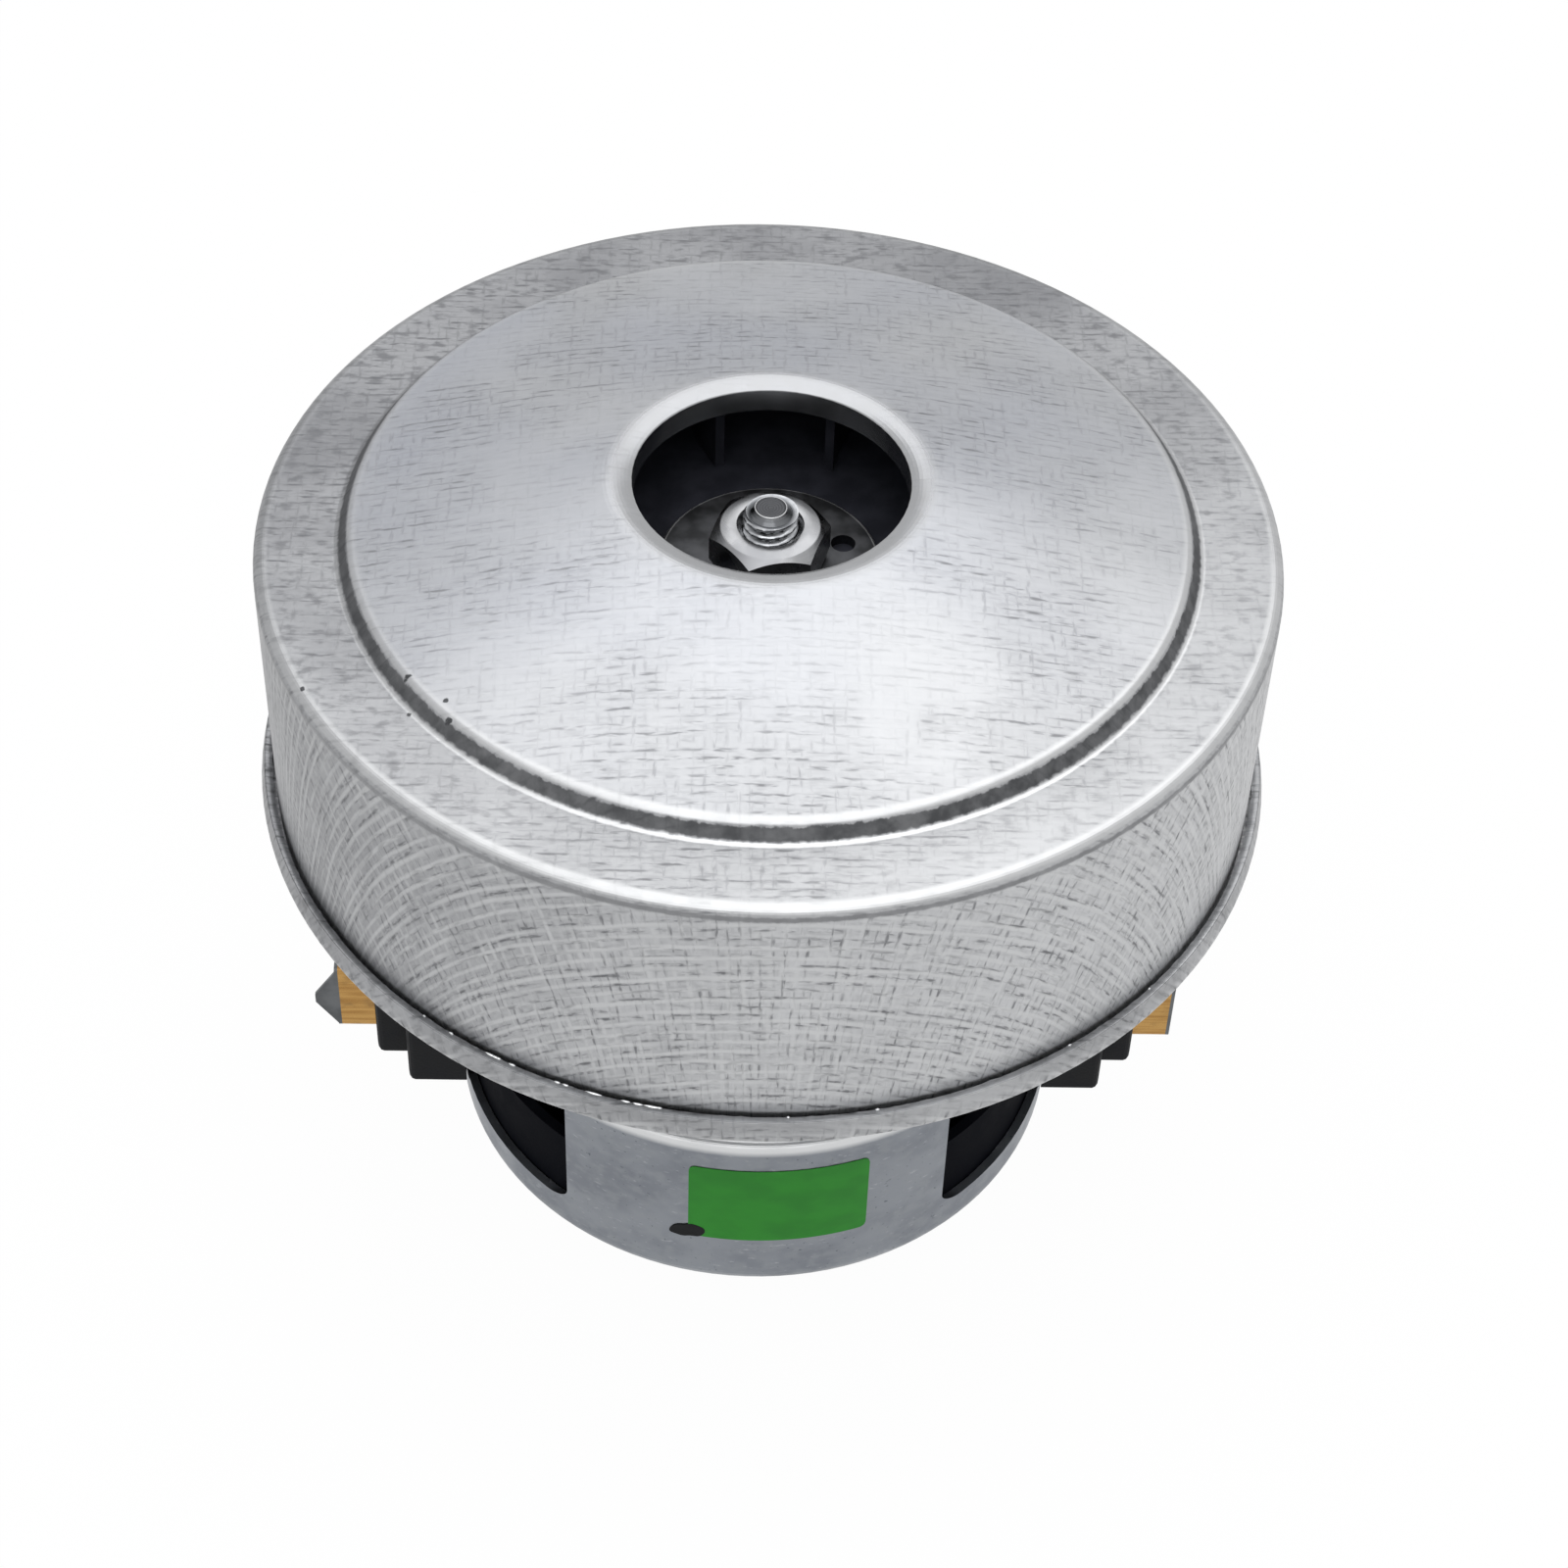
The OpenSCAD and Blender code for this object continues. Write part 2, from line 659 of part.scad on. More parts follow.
// The two-pole lamination: yoke, pole bodies on the Y axis, and shoes round the bore
module field_section() {
  difference() {
    union() {
      difference() {
        circle(stator_r);
        circle(yoke_in_r);
      }
      intersection() {
        square([pole_w, 2 * stator_r], center = true);
        circle(stator_r - yoke_t / 2);
      }
      for (pole = [90, 270])
        intersection() {
          circle(shoe_r);
          polygon([[0, 0], for (a = [pole - shoe_half_angle, pole, pole + shoe_half_angle])
            2 * shoe_r * [cos(a), sin(a)]]);
        }
    }
    circle(field_bore_r);
    for (a = stator_bolt_angles)
      rotate(a)
        translate([stator_bolt_r, 0])
          circle(bolt_r + hole_gap);
  }
}

module stator_core() {
  color(lamination)
    translate([0, 0, stack_z])
      linear_extrude(stack_h)
        field_section();
}

// A saddle-shaped loop round the pole at +Y, between two half sizes and two radii
module saddle(half_in, half_out, r_in, r_out, corner_in, corner_out) {
  intersection() {
    ring(r_out, r_in, floor_z - far, floor_z + far);
    translate([0, 0, stack_mid])
      rotate([90, 0, 180])
        linear_extrude(far)
          difference() {
            rounded_rectangle(half_out, corner_out);
            rounded_rectangle(half_in, corner_in);
          }
  }
}

module field_bobbin() {
  color(black_plastic) {
    saddle(bobbin_in, bobbin_in + [bobbin_t, bobbin_t], coil_in_r, coil_out_r, winding_gap, bobbin_t);
    // Feet on the stack's ends, with a fence outside the coil
    for (end = [0, 1]) {
      foot_z = end == 0 ? stack_z - fit_gap - bobbin_t : stack_top + fit_gap;
      fence_z = end == 0 ? stack_z - fence_h : stack_top + fit_gap;
      ring_sector(fence_in_r + bobbin_t, coil_in_r + 0.4, foot_z, foot_z + bobbin_t, 90, pole_foot_angle());
      ring_sector(fence_in_r + bobbin_t, fence_in_r, fence_z, fence_z + fence_h - fit_gap, 90, fence_angle);
    }
  }
}

// The feet stay within the pole's width
function pole_foot_angle() = asin(0.9 * pole_w / 2 / (fence_in_r + bobbin_t));

module field_coil() {
  color(copper)
    saddle(coil_in, coil_out, coil_in_r, coil_out_r, bobbin_t, coil_corner_r);
}

module field_bobbin_front() { rotate([0, 0, 180]) field_bobbin(); }
module field_bobbin_back() { field_bobbin(); }
module field_coil_front() { rotate([0, 0, 180]) field_coil(); }
module field_coil_back() { field_coil(); }

module stator_bolts() {
  color(bright_steel)
    at_angles(stator_bolt_angles, stator_bolt_r, stack_z)
      screw_up(bolt_r, base_top + small_nut_h + 1 - stack_z, min(bolt_head_r, yoke_t / 2));
}

module stator_spacers() {
  color(bright_steel)
    at_angles(stator_bolt_angles, stator_bolt_r, 0)
      ring(yoke_t / 2, bolt_r + hole_gap, stack_top, floor_z);
}

module stator_nuts() {
  color(bright_steel)
    at_angles(stator_bolt_angles, stator_bolt_r, base_top)
      hex_nut(nut_wrench, small_nut_h, bolt_r + fit_gap);
}

// Deep-groove ball bearing standing on z = 0: outer ring with its two pressed-in shields
module bearing_outer() {
  land_r = pitch_r + land_gap;
  shield_r = pitch_r - land_gap + 0.3;
  color(bright_steel)
    rotate_extrude()
      difference() {
        union() {
          polygon([
            [land_r, 0], [bearing_r - bearing_chamfer, 0], [bearing_r, bearing_chamfer],
            [bearing_r, bearing_w - bearing_chamfer], [bearing_r - bearing_chamfer, bearing_w],
            [land_r, bearing_w]
          ]);
          for (z = [shield_in, bearing_w - shield_in - shield_t])
            translate([shield_r, z])
              square([land_r - shield_r + 0.2, shield_t]);
        }
        translate([pitch_r, bearing_w / 2])
          circle(race_r);
      }
}

module bearing_inner() {
  land_r = pitch_r - land_gap;
  color(bright_steel)
    rotate_extrude()
      difference() {
        translate([shaft_d / 2 + fit_gap / 5, 0])
          square([land_r - shaft_d / 2 - fit_gap / 5, bearing_w]);
        translate([pitch_r, bearing_w / 2])
          circle(race_r);
      }
}

// The balls and the crown cage that spaces them
module bearing_balls() {
  cage_half = land_gap - 0.5;
  color(bright_steel)
    translate([0, 0, bearing_w / 2]) {
      at_angles([for (i = [0:ball_count - 1]) i * 360 / ball_count], pitch_r, 0)
        sphere(d = ball_d);
      difference() {
        ring(pitch_r + cage_half, pitch_r - cage_half, 0.6 * ball_d / 2, ball_d / 2 + 0.6);
        at_angles([for (i = [0:ball_count - 1]) i * 360 / ball_count], pitch_r, 0)
          sphere(r = race_r);
      }
    }
}

module upper_bearing_outer() { translate([0, 0, upper_bearing_z]) bearing_outer(); }
module lower_bearing_outer() { translate([0, 0, lower_bearing_z]) bearing_outer(); }
module upper_bearing_inner() { translate([0, 0, upper_bearing_z]) bearing_inner(); }
module lower_bearing_inner() { translate([0, 0, lower_bearing_z]) bearing_inner(); }
module upper_bearing_balls() { translate([0, 0, upper_bearing_z]) bearing_balls(); }
module lower_bearing_balls() { translate([0, 0, lower_bearing_z]) bearing_balls(); }

module preload_washer() {
  color(bright_steel)
    ring(bearing_r - bearing_chamfer, pitch_r + land_gap, frame_t, frame_t + preload_t);
}

// Moulded holder on the +X side: sleeve, outer block hooked over the sill, pedestal on the tray
module brush_holder() {
  sill_groove = hole_gap;
  color(black_plastic)
    difference() {
      union() {
        moulded_bar_x(sleeve_start, sleeve_reach, sleeve_out, edge_r, end_round);
        moulded_bar_x(block_start, block_reach, [block_w / 2, block_tall / 2], edge_r, end_round);
        translate([pedestal_x[0], -pedestal_half_w, pedestal_z])
          cube([pedestal_x[1] - pedestal_x[0], 2 * pedestal_half_w, brush_z - tube_out[1] - pedestal_z]);
      }
      bar_x(sleeve_start - 1, sleeve_reach + 1, tube_out + [fit_gap, fit_gap], edge_r);
      ring(frame_r + sill_groove, frame_r - frame_t - sill_groove, 0, sill_z + sill_groove);
      for (y = [-1, 1])
        translate([holder_screw_x, y * holder_screw_y, frame_end_z])
          cylinder(r = screw_r + fit_gap, h = holder_screw_l + 0.4);
    }
}

// Moulded tray behind the +X window: a floor on the end face and a wall inside the sill
module window_tray() {
  chamfer = frame_round - frame_t;
  color(black_plastic)
    difference() {
      rotate([0, 0, -tray_half_angle])
        rotate_extrude(angle = 2 * tray_half_angle)
          polygon([
            [tray_in_r, tray_z], [tray_r - chamfer, tray_z], [tray_r, tray_z + chamfer],
            [tray_r, frame_end_z + tray_h], [tray_r - tray_t, frame_end_z + tray_h],
            [tray_r - tray_t, tray_z + tray_t], [tray_in_r, tray_z + tray_t]
          ]);
      bar_x(0, far, sleeve_out + [hole_gap, hole_gap], edge_r);
      for (y = [-1, 1])
        translate([holder_screw_x, y * holder_screw_y, 0])
          cylinder(r = screw_r + hole_gap, h = sill_z);
    }
}

module brush_tube() {
  color(brass)
    difference() {
      bar_x(tube_start, tube_reach, tube_out, edge_r);
      bar_x(tube_start - 1, tube_reach + 1, tube_in, edge_r / 2);
    }
}

// End cap of the tube, folded out of one strip with a pointed tab along its +Y side
module terminal() {
  color(dark_steel) {
    bar_x(tube_reach, tube_reach + terminal_t, tube_out, edge_r);
    translate([tube_reach, tube_out[0], brush_z])
      rotate([90, 0, 0])
        linear_extrude(terminal_t)
          polygon([
            [0, -terminal_half_h], [terminal_t, -terminal_half_h], [tab_l, -tab_tip_h / 2],
            [tab_l, tab_tip_h / 2], [terminal_t, terminal_half_h], [0, terminal_half_h]
          ]);
  }
}

// A helix of round wire along +X between the brush and the end cap
spring_start = brush_end + spring_wire / 2 + fit_gap;
spring_end = tube_reach - spring_wire / 2 - fit_gap;
spring_rings = 8 * spring_turns;
spring_sides = 6;
spring_pitch = (spring_end - spring_start) / spring_turns;
function spring_point(i, side) =
  let (
    turn = 360 * i / 8,
    around = 360 * side / spring_sides,
    r = spring_r + spring_wire / 2 * cos(around)
  )
  [spring_start + spring_pitch * i / 8 + spring_wire / 2 * sin(around), r * cos(turn), brush_z + r * sin(turn)];

module brush_spring() {
  points = [for (i = [0:spring_rings], side = [0:spring_sides - 1]) spring_point(i, side)];
  sides = [for (i = [0:spring_rings - 1], s = [0:spring_sides - 1])
    let (
      a = i * spring_sides + s,
      b = i * spring_sides + (s + 1) % spring_sides
    )
    each [[a, b, a + spring_sides], [b, b + spring_sides, a + spring_sides]]];
  last = spring_rings * spring_sides;
  ends = [for (s = [1:spring_sides - 2]) each [[0, s + 1, s], [last, last + s, last + s + 1]]];
  color(bright_steel)
    polyhedron(points, concat(sides, ends));
}

// Carbon brush, its face hollowed to the commutator
module carbon_brush() {
  color(carbon)
    difference() {
      bar_x(commutator_r - 1, brush_end, [brush_w / 2, brush_tall / 2], edge_r / 2);
      translate([0, 0, brush_z - brush_tall])
        cylinder(r = brush_start, h = 2 * brush_tall);
    }
}

module left() { rotate([0, 0, 180]) children(); }
module window_tray_left() { left() window_tray(); }
module window_tray_right() { window_tray(); }
module brush_holder_left() { left() brush_holder(); }
module brush_holder_right() { brush_holder(); }
module brush_tube_left() { left() brush_tube(); }
module brush_tube_right() { brush_tube(); }
module terminal_left() { left() terminal(); }
module terminal_right() { terminal(); }
module brush_spring_left() { left() brush_spring(); }
module brush_spring_right() { brush_spring(); }
module carbon_brush_left() { left() carbon_brush(); }
module carbon_brush_right() { carbon_brush(); }

module holder_screws() {
  color(bright_steel)
    for (x = [-1, 1], y = [-1, 1])
      translate([x * holder_screw_x, y * holder_screw_y, frame_end_z])
        screw_up(screw_r, holder_screw_l, screw_head_r);
}

module shaft() {
  shaft_r = shaft_d / 2;
  core_r = shaft_core_d / 2;
  thread_r = thread_d / 2;
  chamfer = 0.6;
  color(bright_steel)
    rotate_extrude()
      polygon([
        [0, shaft_foot_z], [shaft_r - chamfer, shaft_foot_z], [shaft_r, shaft_foot_z + chamfer],
        [shaft_r, lower_bearing_z + bearing_w], [core_r, lower_bearing_z + bearing_w],
        [core_r, upper_bearing_z], [shaft_r, upper_bearing_z], [shaft_r, thread_start_z],
        [thread_r, thread_start_z], [thread_r, tip_z - (thread_r - tip_flat_r)], [tip_flat_r, tip_z],
        [0, tip_z]
      ]);
}

module armature_core() {
  color(lamination)
    translate([0, 0, stack_z])
      linear_extrude(stack_h)
        difference() {
          circle(armature_r);
          circle(shaft_core_d / 2 + fit_gap / 5);
          for (i = [0:armature_slots - 1])
            rotate(i * 360 / armature_slots) {
              translate([core_slot_in_r, -core_slot_w / 2])
                square([core_slot_depth - core_tip, core_slot_w]);
              translate([armature_r - core_tip - 0.1, -core_mouth_w / 2])
                square([core_tip + 1, core_mouth_w]);
            }
        }
}

// Copper in the slots, joined by the end bundles over and under the core
module armature_winding() {
  stick_in_r = core_slot_in_r + winding_gap;
  stick_out_r = armature_r - core_tip - winding_gap;
  stick_w = core_slot_w - 2 * winding_gap;
  crown = [
    [winding_in_r, 0], [winding_end_r, 0], [winding_end_r, 0.6 * winding_end_h],
    [0.85 * winding_end_r, winding_end_h], [winding_in_r + 1, winding_end_h], [winding_in_r, 0.8 * winding_end_h]
  ];
  color(copper) {
    translate([0, 0, stack_top + winding_gap])
      rotate_extrude()
        polygon(crown);
    translate([0, 0, stack_z - winding_gap])
      mirror([0, 0, 1])
        rotate_extrude()
          polygon(crown);
    for (i = [0:armature_slots - 1])
      rotate([0, 0, i * 360 / armature_slots])
        translate([stick_in_r, -stick_w / 2, stack_z - 1])
          cube([stick_out_r - stick_in_r, stick_w, stack_h + 2]);
  }
}

module commutator_bars() {
  color(copper)
    translate([0, 0, commutator_z])
      difference() {
        rotate_extrude()
          polygon([
            [commutator_r - bar_wall, 0], [commutator_r, 0], [commutator_r, commutator_l - hook_h],
            [hook_r, commutator_l - hook_h], [hook_r, commutator_l], [commutator_r - bar_wall, commutator_l]
          ]);
        for (i = [0:armature_slots - 1])
          rotate([0, 0, (i + 0.5) * 360 / armature_slots])
            translate([0, -bar_gap / 2, -1])
              cube([hook_r + 1, bar_gap, commutator_l + 2]);
      }
}

module commutator_hub() {
  color(phenolic)
    ring(commutator_r - bar_wall - fit_gap, shaft_core_d / 2 + fit_gap / 5,
      commutator_z - 0.6, commutator_z + commutator_l - 0.4);
}

module spacer_sleeve() {
  color(bright_steel)
    ring(shaft_d / 2 + 2, shaft_d / 2 + fit_gap / 5, upper_bearing_z + bearing_w, lower_washer_z);
}

module lower_washer() {
  color(dark_steel)
    ring(washer_r, shaft_d / 2 + fit_gap / 5, lower_washer_z, lower_washer_z + washer_t);
}

// The passage between the impeller's plate and its shroud, which shapes the blades' upper edges
function shroud_z(r) =
  shroud_eye_z + (shroud_rim_z - shroud_eye_z) * (r - eye_r) / (impeller_r - eye_r);

module impeller() {
  roof = shroud_t + blade_gap;
  blade_h = shroud_eye_z - hub_z + plate_t;
  color(black_plastic) {
    ring(impeller_r, shaft_d / 2 + fit_gap / 5, hub_z - plate_t, hub_z);
    intersection() {
      for (i = [0:blade_count - 1])
        rotate([0, 0, i * 360 / blade_count])
          translate([0, 0, hub_z - plate_t])
            curved_blade(blade_in_r, blade_out_r, blade_curve_r, blade_t, blade_h);
      rotate_extrude()
        polygon([
          [1, hub_z - plate_t / 2], [impeller_r, hub_z - plate_t / 2],
          [impeller_r, shroud_z(impeller_r) - roof], [1, shroud_z(1) - roof]
        ]);
    }
  }
}

module impeller_shroud() {
  color(black_plastic)
    rotate_extrude()
      polygon([
        [eye_r, shroud_eye_z - shroud_t], [eye_r, shroud_eye_z],
        [impeller_r, shroud_rim_z], [impeller_r, shroud_rim_z - shroud_t]
      ]);
}

module hub_washer() {
  edge = 0.3;
  color(dark_steel)
    translate([0, 0, hub_z])
      difference() {
        rotate_extrude()
          polygon([
            [thread_d / 2 + fit_gap, 0], [washer_r, 0], [washer_r, washer_t - edge],
            [washer_r - edge, washer_t], [thread_d / 2 + fit_gap, washer_t]
          ]);
        at_angles([20, 200], balance_hole_r, -1)
          cylinder(d = balance_hole_d, h = washer_t + 2);
      }
}

module lock_nut() {
  color(bright_steel)
    translate([0, 0, nut_z])
      rotate([0, 0, nut_turn])
        hex_nut(nut_af, nut_h, thread_d / 2 + fit_gap);
}

fan_cover();
fan_base();
diffuser();
diffuser_screws();
motor_frame();
frame_screws();
stator_core();
field_bobbin_front();
field_bobbin_back();
field_coil_front();
field_coil_back();
stator_bolts();
stator_spacers();
stator_nuts();
upper_bearing_outer();
lower_bearing_outer();
preload_washer();
window_tray_left();
window_tray_right();
brush_holder_left();
brush_holder_right();
brush_tube_left();
brush_tube_right();
terminal_left();
terminal_right();
brush_spring_left();
brush_spring_right();
holder_screws();
shaft();
armature_core();
armature_winding();
commutator_bars();
commutator_hub();
upper_bearing_inner();
lower_bearing_inner();
spacer_sleeve();
lower_washer();
impeller();
impeller_shroud();
hub_washer();
lock_nut();
upper_bearing_balls();
lower_bearing_balls();
carbon_brush_left();
carbon_brush_right();
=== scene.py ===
"""Looks of a vacuum motor unit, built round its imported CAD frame.

Sizes are in millimetres in the CAD frame: +Z is the shaft towards the inlet and X is the brush axis.
"""

import math
import random

import bmesh
import bpy
from mathutils import Matrix, Vector, noise


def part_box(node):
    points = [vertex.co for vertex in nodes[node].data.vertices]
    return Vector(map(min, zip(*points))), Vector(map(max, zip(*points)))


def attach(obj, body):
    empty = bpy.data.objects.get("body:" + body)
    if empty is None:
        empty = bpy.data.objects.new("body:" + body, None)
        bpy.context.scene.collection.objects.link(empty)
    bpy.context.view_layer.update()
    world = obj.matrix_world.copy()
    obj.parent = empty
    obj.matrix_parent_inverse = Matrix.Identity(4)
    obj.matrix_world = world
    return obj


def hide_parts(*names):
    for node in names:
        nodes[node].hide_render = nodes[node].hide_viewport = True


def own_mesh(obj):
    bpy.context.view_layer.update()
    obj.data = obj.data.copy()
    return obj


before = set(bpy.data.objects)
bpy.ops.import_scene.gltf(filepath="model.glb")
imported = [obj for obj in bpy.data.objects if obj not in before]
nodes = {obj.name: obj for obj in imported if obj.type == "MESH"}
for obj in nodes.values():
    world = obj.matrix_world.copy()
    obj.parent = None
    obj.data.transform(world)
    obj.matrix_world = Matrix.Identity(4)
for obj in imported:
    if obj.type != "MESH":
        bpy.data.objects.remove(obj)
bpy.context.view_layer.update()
draw = random.Random(7)

MM = 0.001
# A wave texture's period in its own units, about 2 pi / 20
WAVE_PERIOD = 0.314

# Heights along the shaft
frame_end = 7.8
brush_axis = 22.8
stack_foot = 39.79
stack_top = 66.8
rim_top = 74.2
nut_foot = 105.5
annulus = 110.7
nut_top = 111.7
tip_foot = 114.0

# Radii round the shaft
thread_r = 3.5
frame_r = 42.8
cover_r = 65.0
rim_in_r = 65.5
rim_out_r = 67.0


def linear(hex_colour):
    """An sRGB hex value as linear red, green, blue and alpha."""
    channels = [int(hex_colour[i:i + 2], 16) / 255 for i in (1, 3, 5)]
    return [c / 12.92 if c <= 0.04045 else ((c + 0.055) / 1.055) ** 2.4 for c in channels] + [1.0]


def add_node(tree, kind, values=None, links=None, **settings):
    """Adds a node with its settings, the values of its sockets and the links into them."""
    node = tree.nodes.new(kind)
    for name, value in settings.items():
        setattr(node, name, value)
    for socket, value in (values or {}).items():
        node.inputs[socket].default_value = value
    for socket, source in (links or {}).items():
        tree.links.new(source, node.inputs[socket])
    return node


def new_finish(name, colour, roughness, metallic=0.0, **values):
    """A material with its shader's plain values; returns the material, its tree and its shader."""
    material = bpy.data.materials.new(name)
    material.use_nodes = True
    tree = material.node_tree
    shader = tree.nodes["Principled BSDF"]
    shader.inputs["Base Color"].default_value = linear(colour)
    shader.inputs["Roughness"].default_value = roughness
    shader.inputs["Metallic"].default_value = metallic
    for socket, value in values.items():
        shader.inputs[socket.replace("_", " ")].default_value = value
    return material, tree, shader


def dress(tree, shader, colour, rough=None, raised=None, height=0.0):
    """Links a colour, a roughness and a bump to a shader; the bump's height is in mm."""
    tree.links.new(colour, shader.inputs["Base Color"])
    if rough is not None:
        tree.links.new(rough, shader.inputs["Roughness"])
    if raised is not None:
        bump = add_node(tree, "ShaderNodeBump", {"Strength": 1.0, "Distance": height * MM},
                        {"Height": raised})
        tree.links.new(bump.outputs[0], shader.inputs["Normal"])


def object_place(tree):
    """Places on the object in metres."""
    return add_node(tree, "ShaderNodeTexCoord").outputs["Object"]


def flat_place(tree, place):
    """Places with their height taken out."""
    return add_node(tree, "ShaderNodeVectorMath", {1: (1, 1, 0)}, {0: place},
                    operation="MULTIPLY").outputs[0]


def shaft_radius(tree, place):
    """Distances of places from the shaft's axis."""
    flat = flat_place(tree, place)
    return add_node(tree, "ShaderNodeVectorMath", links={0: flat}, operation="LENGTH").outputs["Value"]


def shaft_height(tree, place):
    """Heights of places along the shaft."""
    return add_node(tree, "ShaderNodeSeparateXYZ", links={0: place}).outputs["Z"]


def ramp(tree, source, start, full, unit=MM, kind="LINEAR"):
    """A mask that goes from 0 to 1 between two values of its source, in mm if no unit is named."""
    return add_node(tree, "ShaderNodeMapRange", {1: start * unit, 2: full * unit}, {0: source},
                    interpolation_type=kind).outputs[0]


def grade(tree, mask, low, high):
    """A mask from 0 to 1 turned into a range of values."""
    return add_node(tree, "ShaderNodeMapRange", {3: low, 4: high}, {0: mask}).outputs[0]


def combine(tree, operation, *masks):
    """Masks joined one after the other by an operation."""
    result = masks[0]
    for mask in masks[1:]:
        joined = add_node(tree, "ShaderNodeMath", links={0: result, 1: mask}, operation=operation)
        result = joined.outputs[0]
    return result


def product(tree, *masks):
    """Masks multiplied with each other."""
    return combine(tree, "MULTIPLY", *masks)


def largest(tree, *masks):
    """The largest of some masks at each place."""
    return combine(tree, "MAXIMUM", *masks)


def shade(tree, mask, under, over):
    """Colour that goes from one to the other with a mask; each is a hex value or another node's colour."""
    mix = add_node(tree, "ShaderNodeMix", links={0: mask}, data_type="RGBA")
    for socket, colour in ((6, under), (7, over)):
        if isinstance(colour, str):
            mix.inputs[socket].default_value = linear(colour)
        else:
            tree.links.new(colour, mix.inputs[socket])
    return mix.outputs[2]


def laid_out(tree, place, scale, seed):
    """Places stretched to a pattern's scale and moved by its seed."""
    return add_node(tree, "ShaderNodeMapping", {"Scale": scale, "Location": (seed, seed, seed)},
                    {"Vector": place}).outputs[0]


def flecks(tree, place, size, start, full, seed=0.0, detail=2.0):
    """A mask from 0 to 1 of flecks with a mean size in mm along x, y and z; 0 mm leaves an axis out."""
    scale = [1 / (s * MM) if s else 0.0 for s in size]
    laid = laid_out(tree, place, scale, seed)
    grain = add_node(tree, "ShaderNodeTexNoise", {"Scale": 1.0, "Detail": detail}, {"Vector": laid})
    return ramp(tree, grain.outputs[0], start, full, unit=1.0, kind="SMOOTHSTEP")


def scores(tree, place, along, spacing, seed):
    """A mask of thin lines that run along x or y, a mean spacing in mm apart, and wander a little."""
    pitch = WAVE_PERIOD / (spacing * MM)
    drift = 0.3 * pitch
    scale = (drift, pitch, 0) if along == "X" else (pitch, drift, 0)
    wave = add_node(tree, "ShaderNodeTexWave",
                    {"Scale": 1.0, "Distortion": 2.6, "Detail": 3.0, "Detail Scale": 1.2},
                    {"Vector": laid_out(tree, place, scale, seed)},
                    bands_direction="Y" if along == "X" else "X")
    return ramp(tree, wave.outputs["Fac"], 0.45, 1.0, unit=1.0, kind="SMOOTHSTEP")


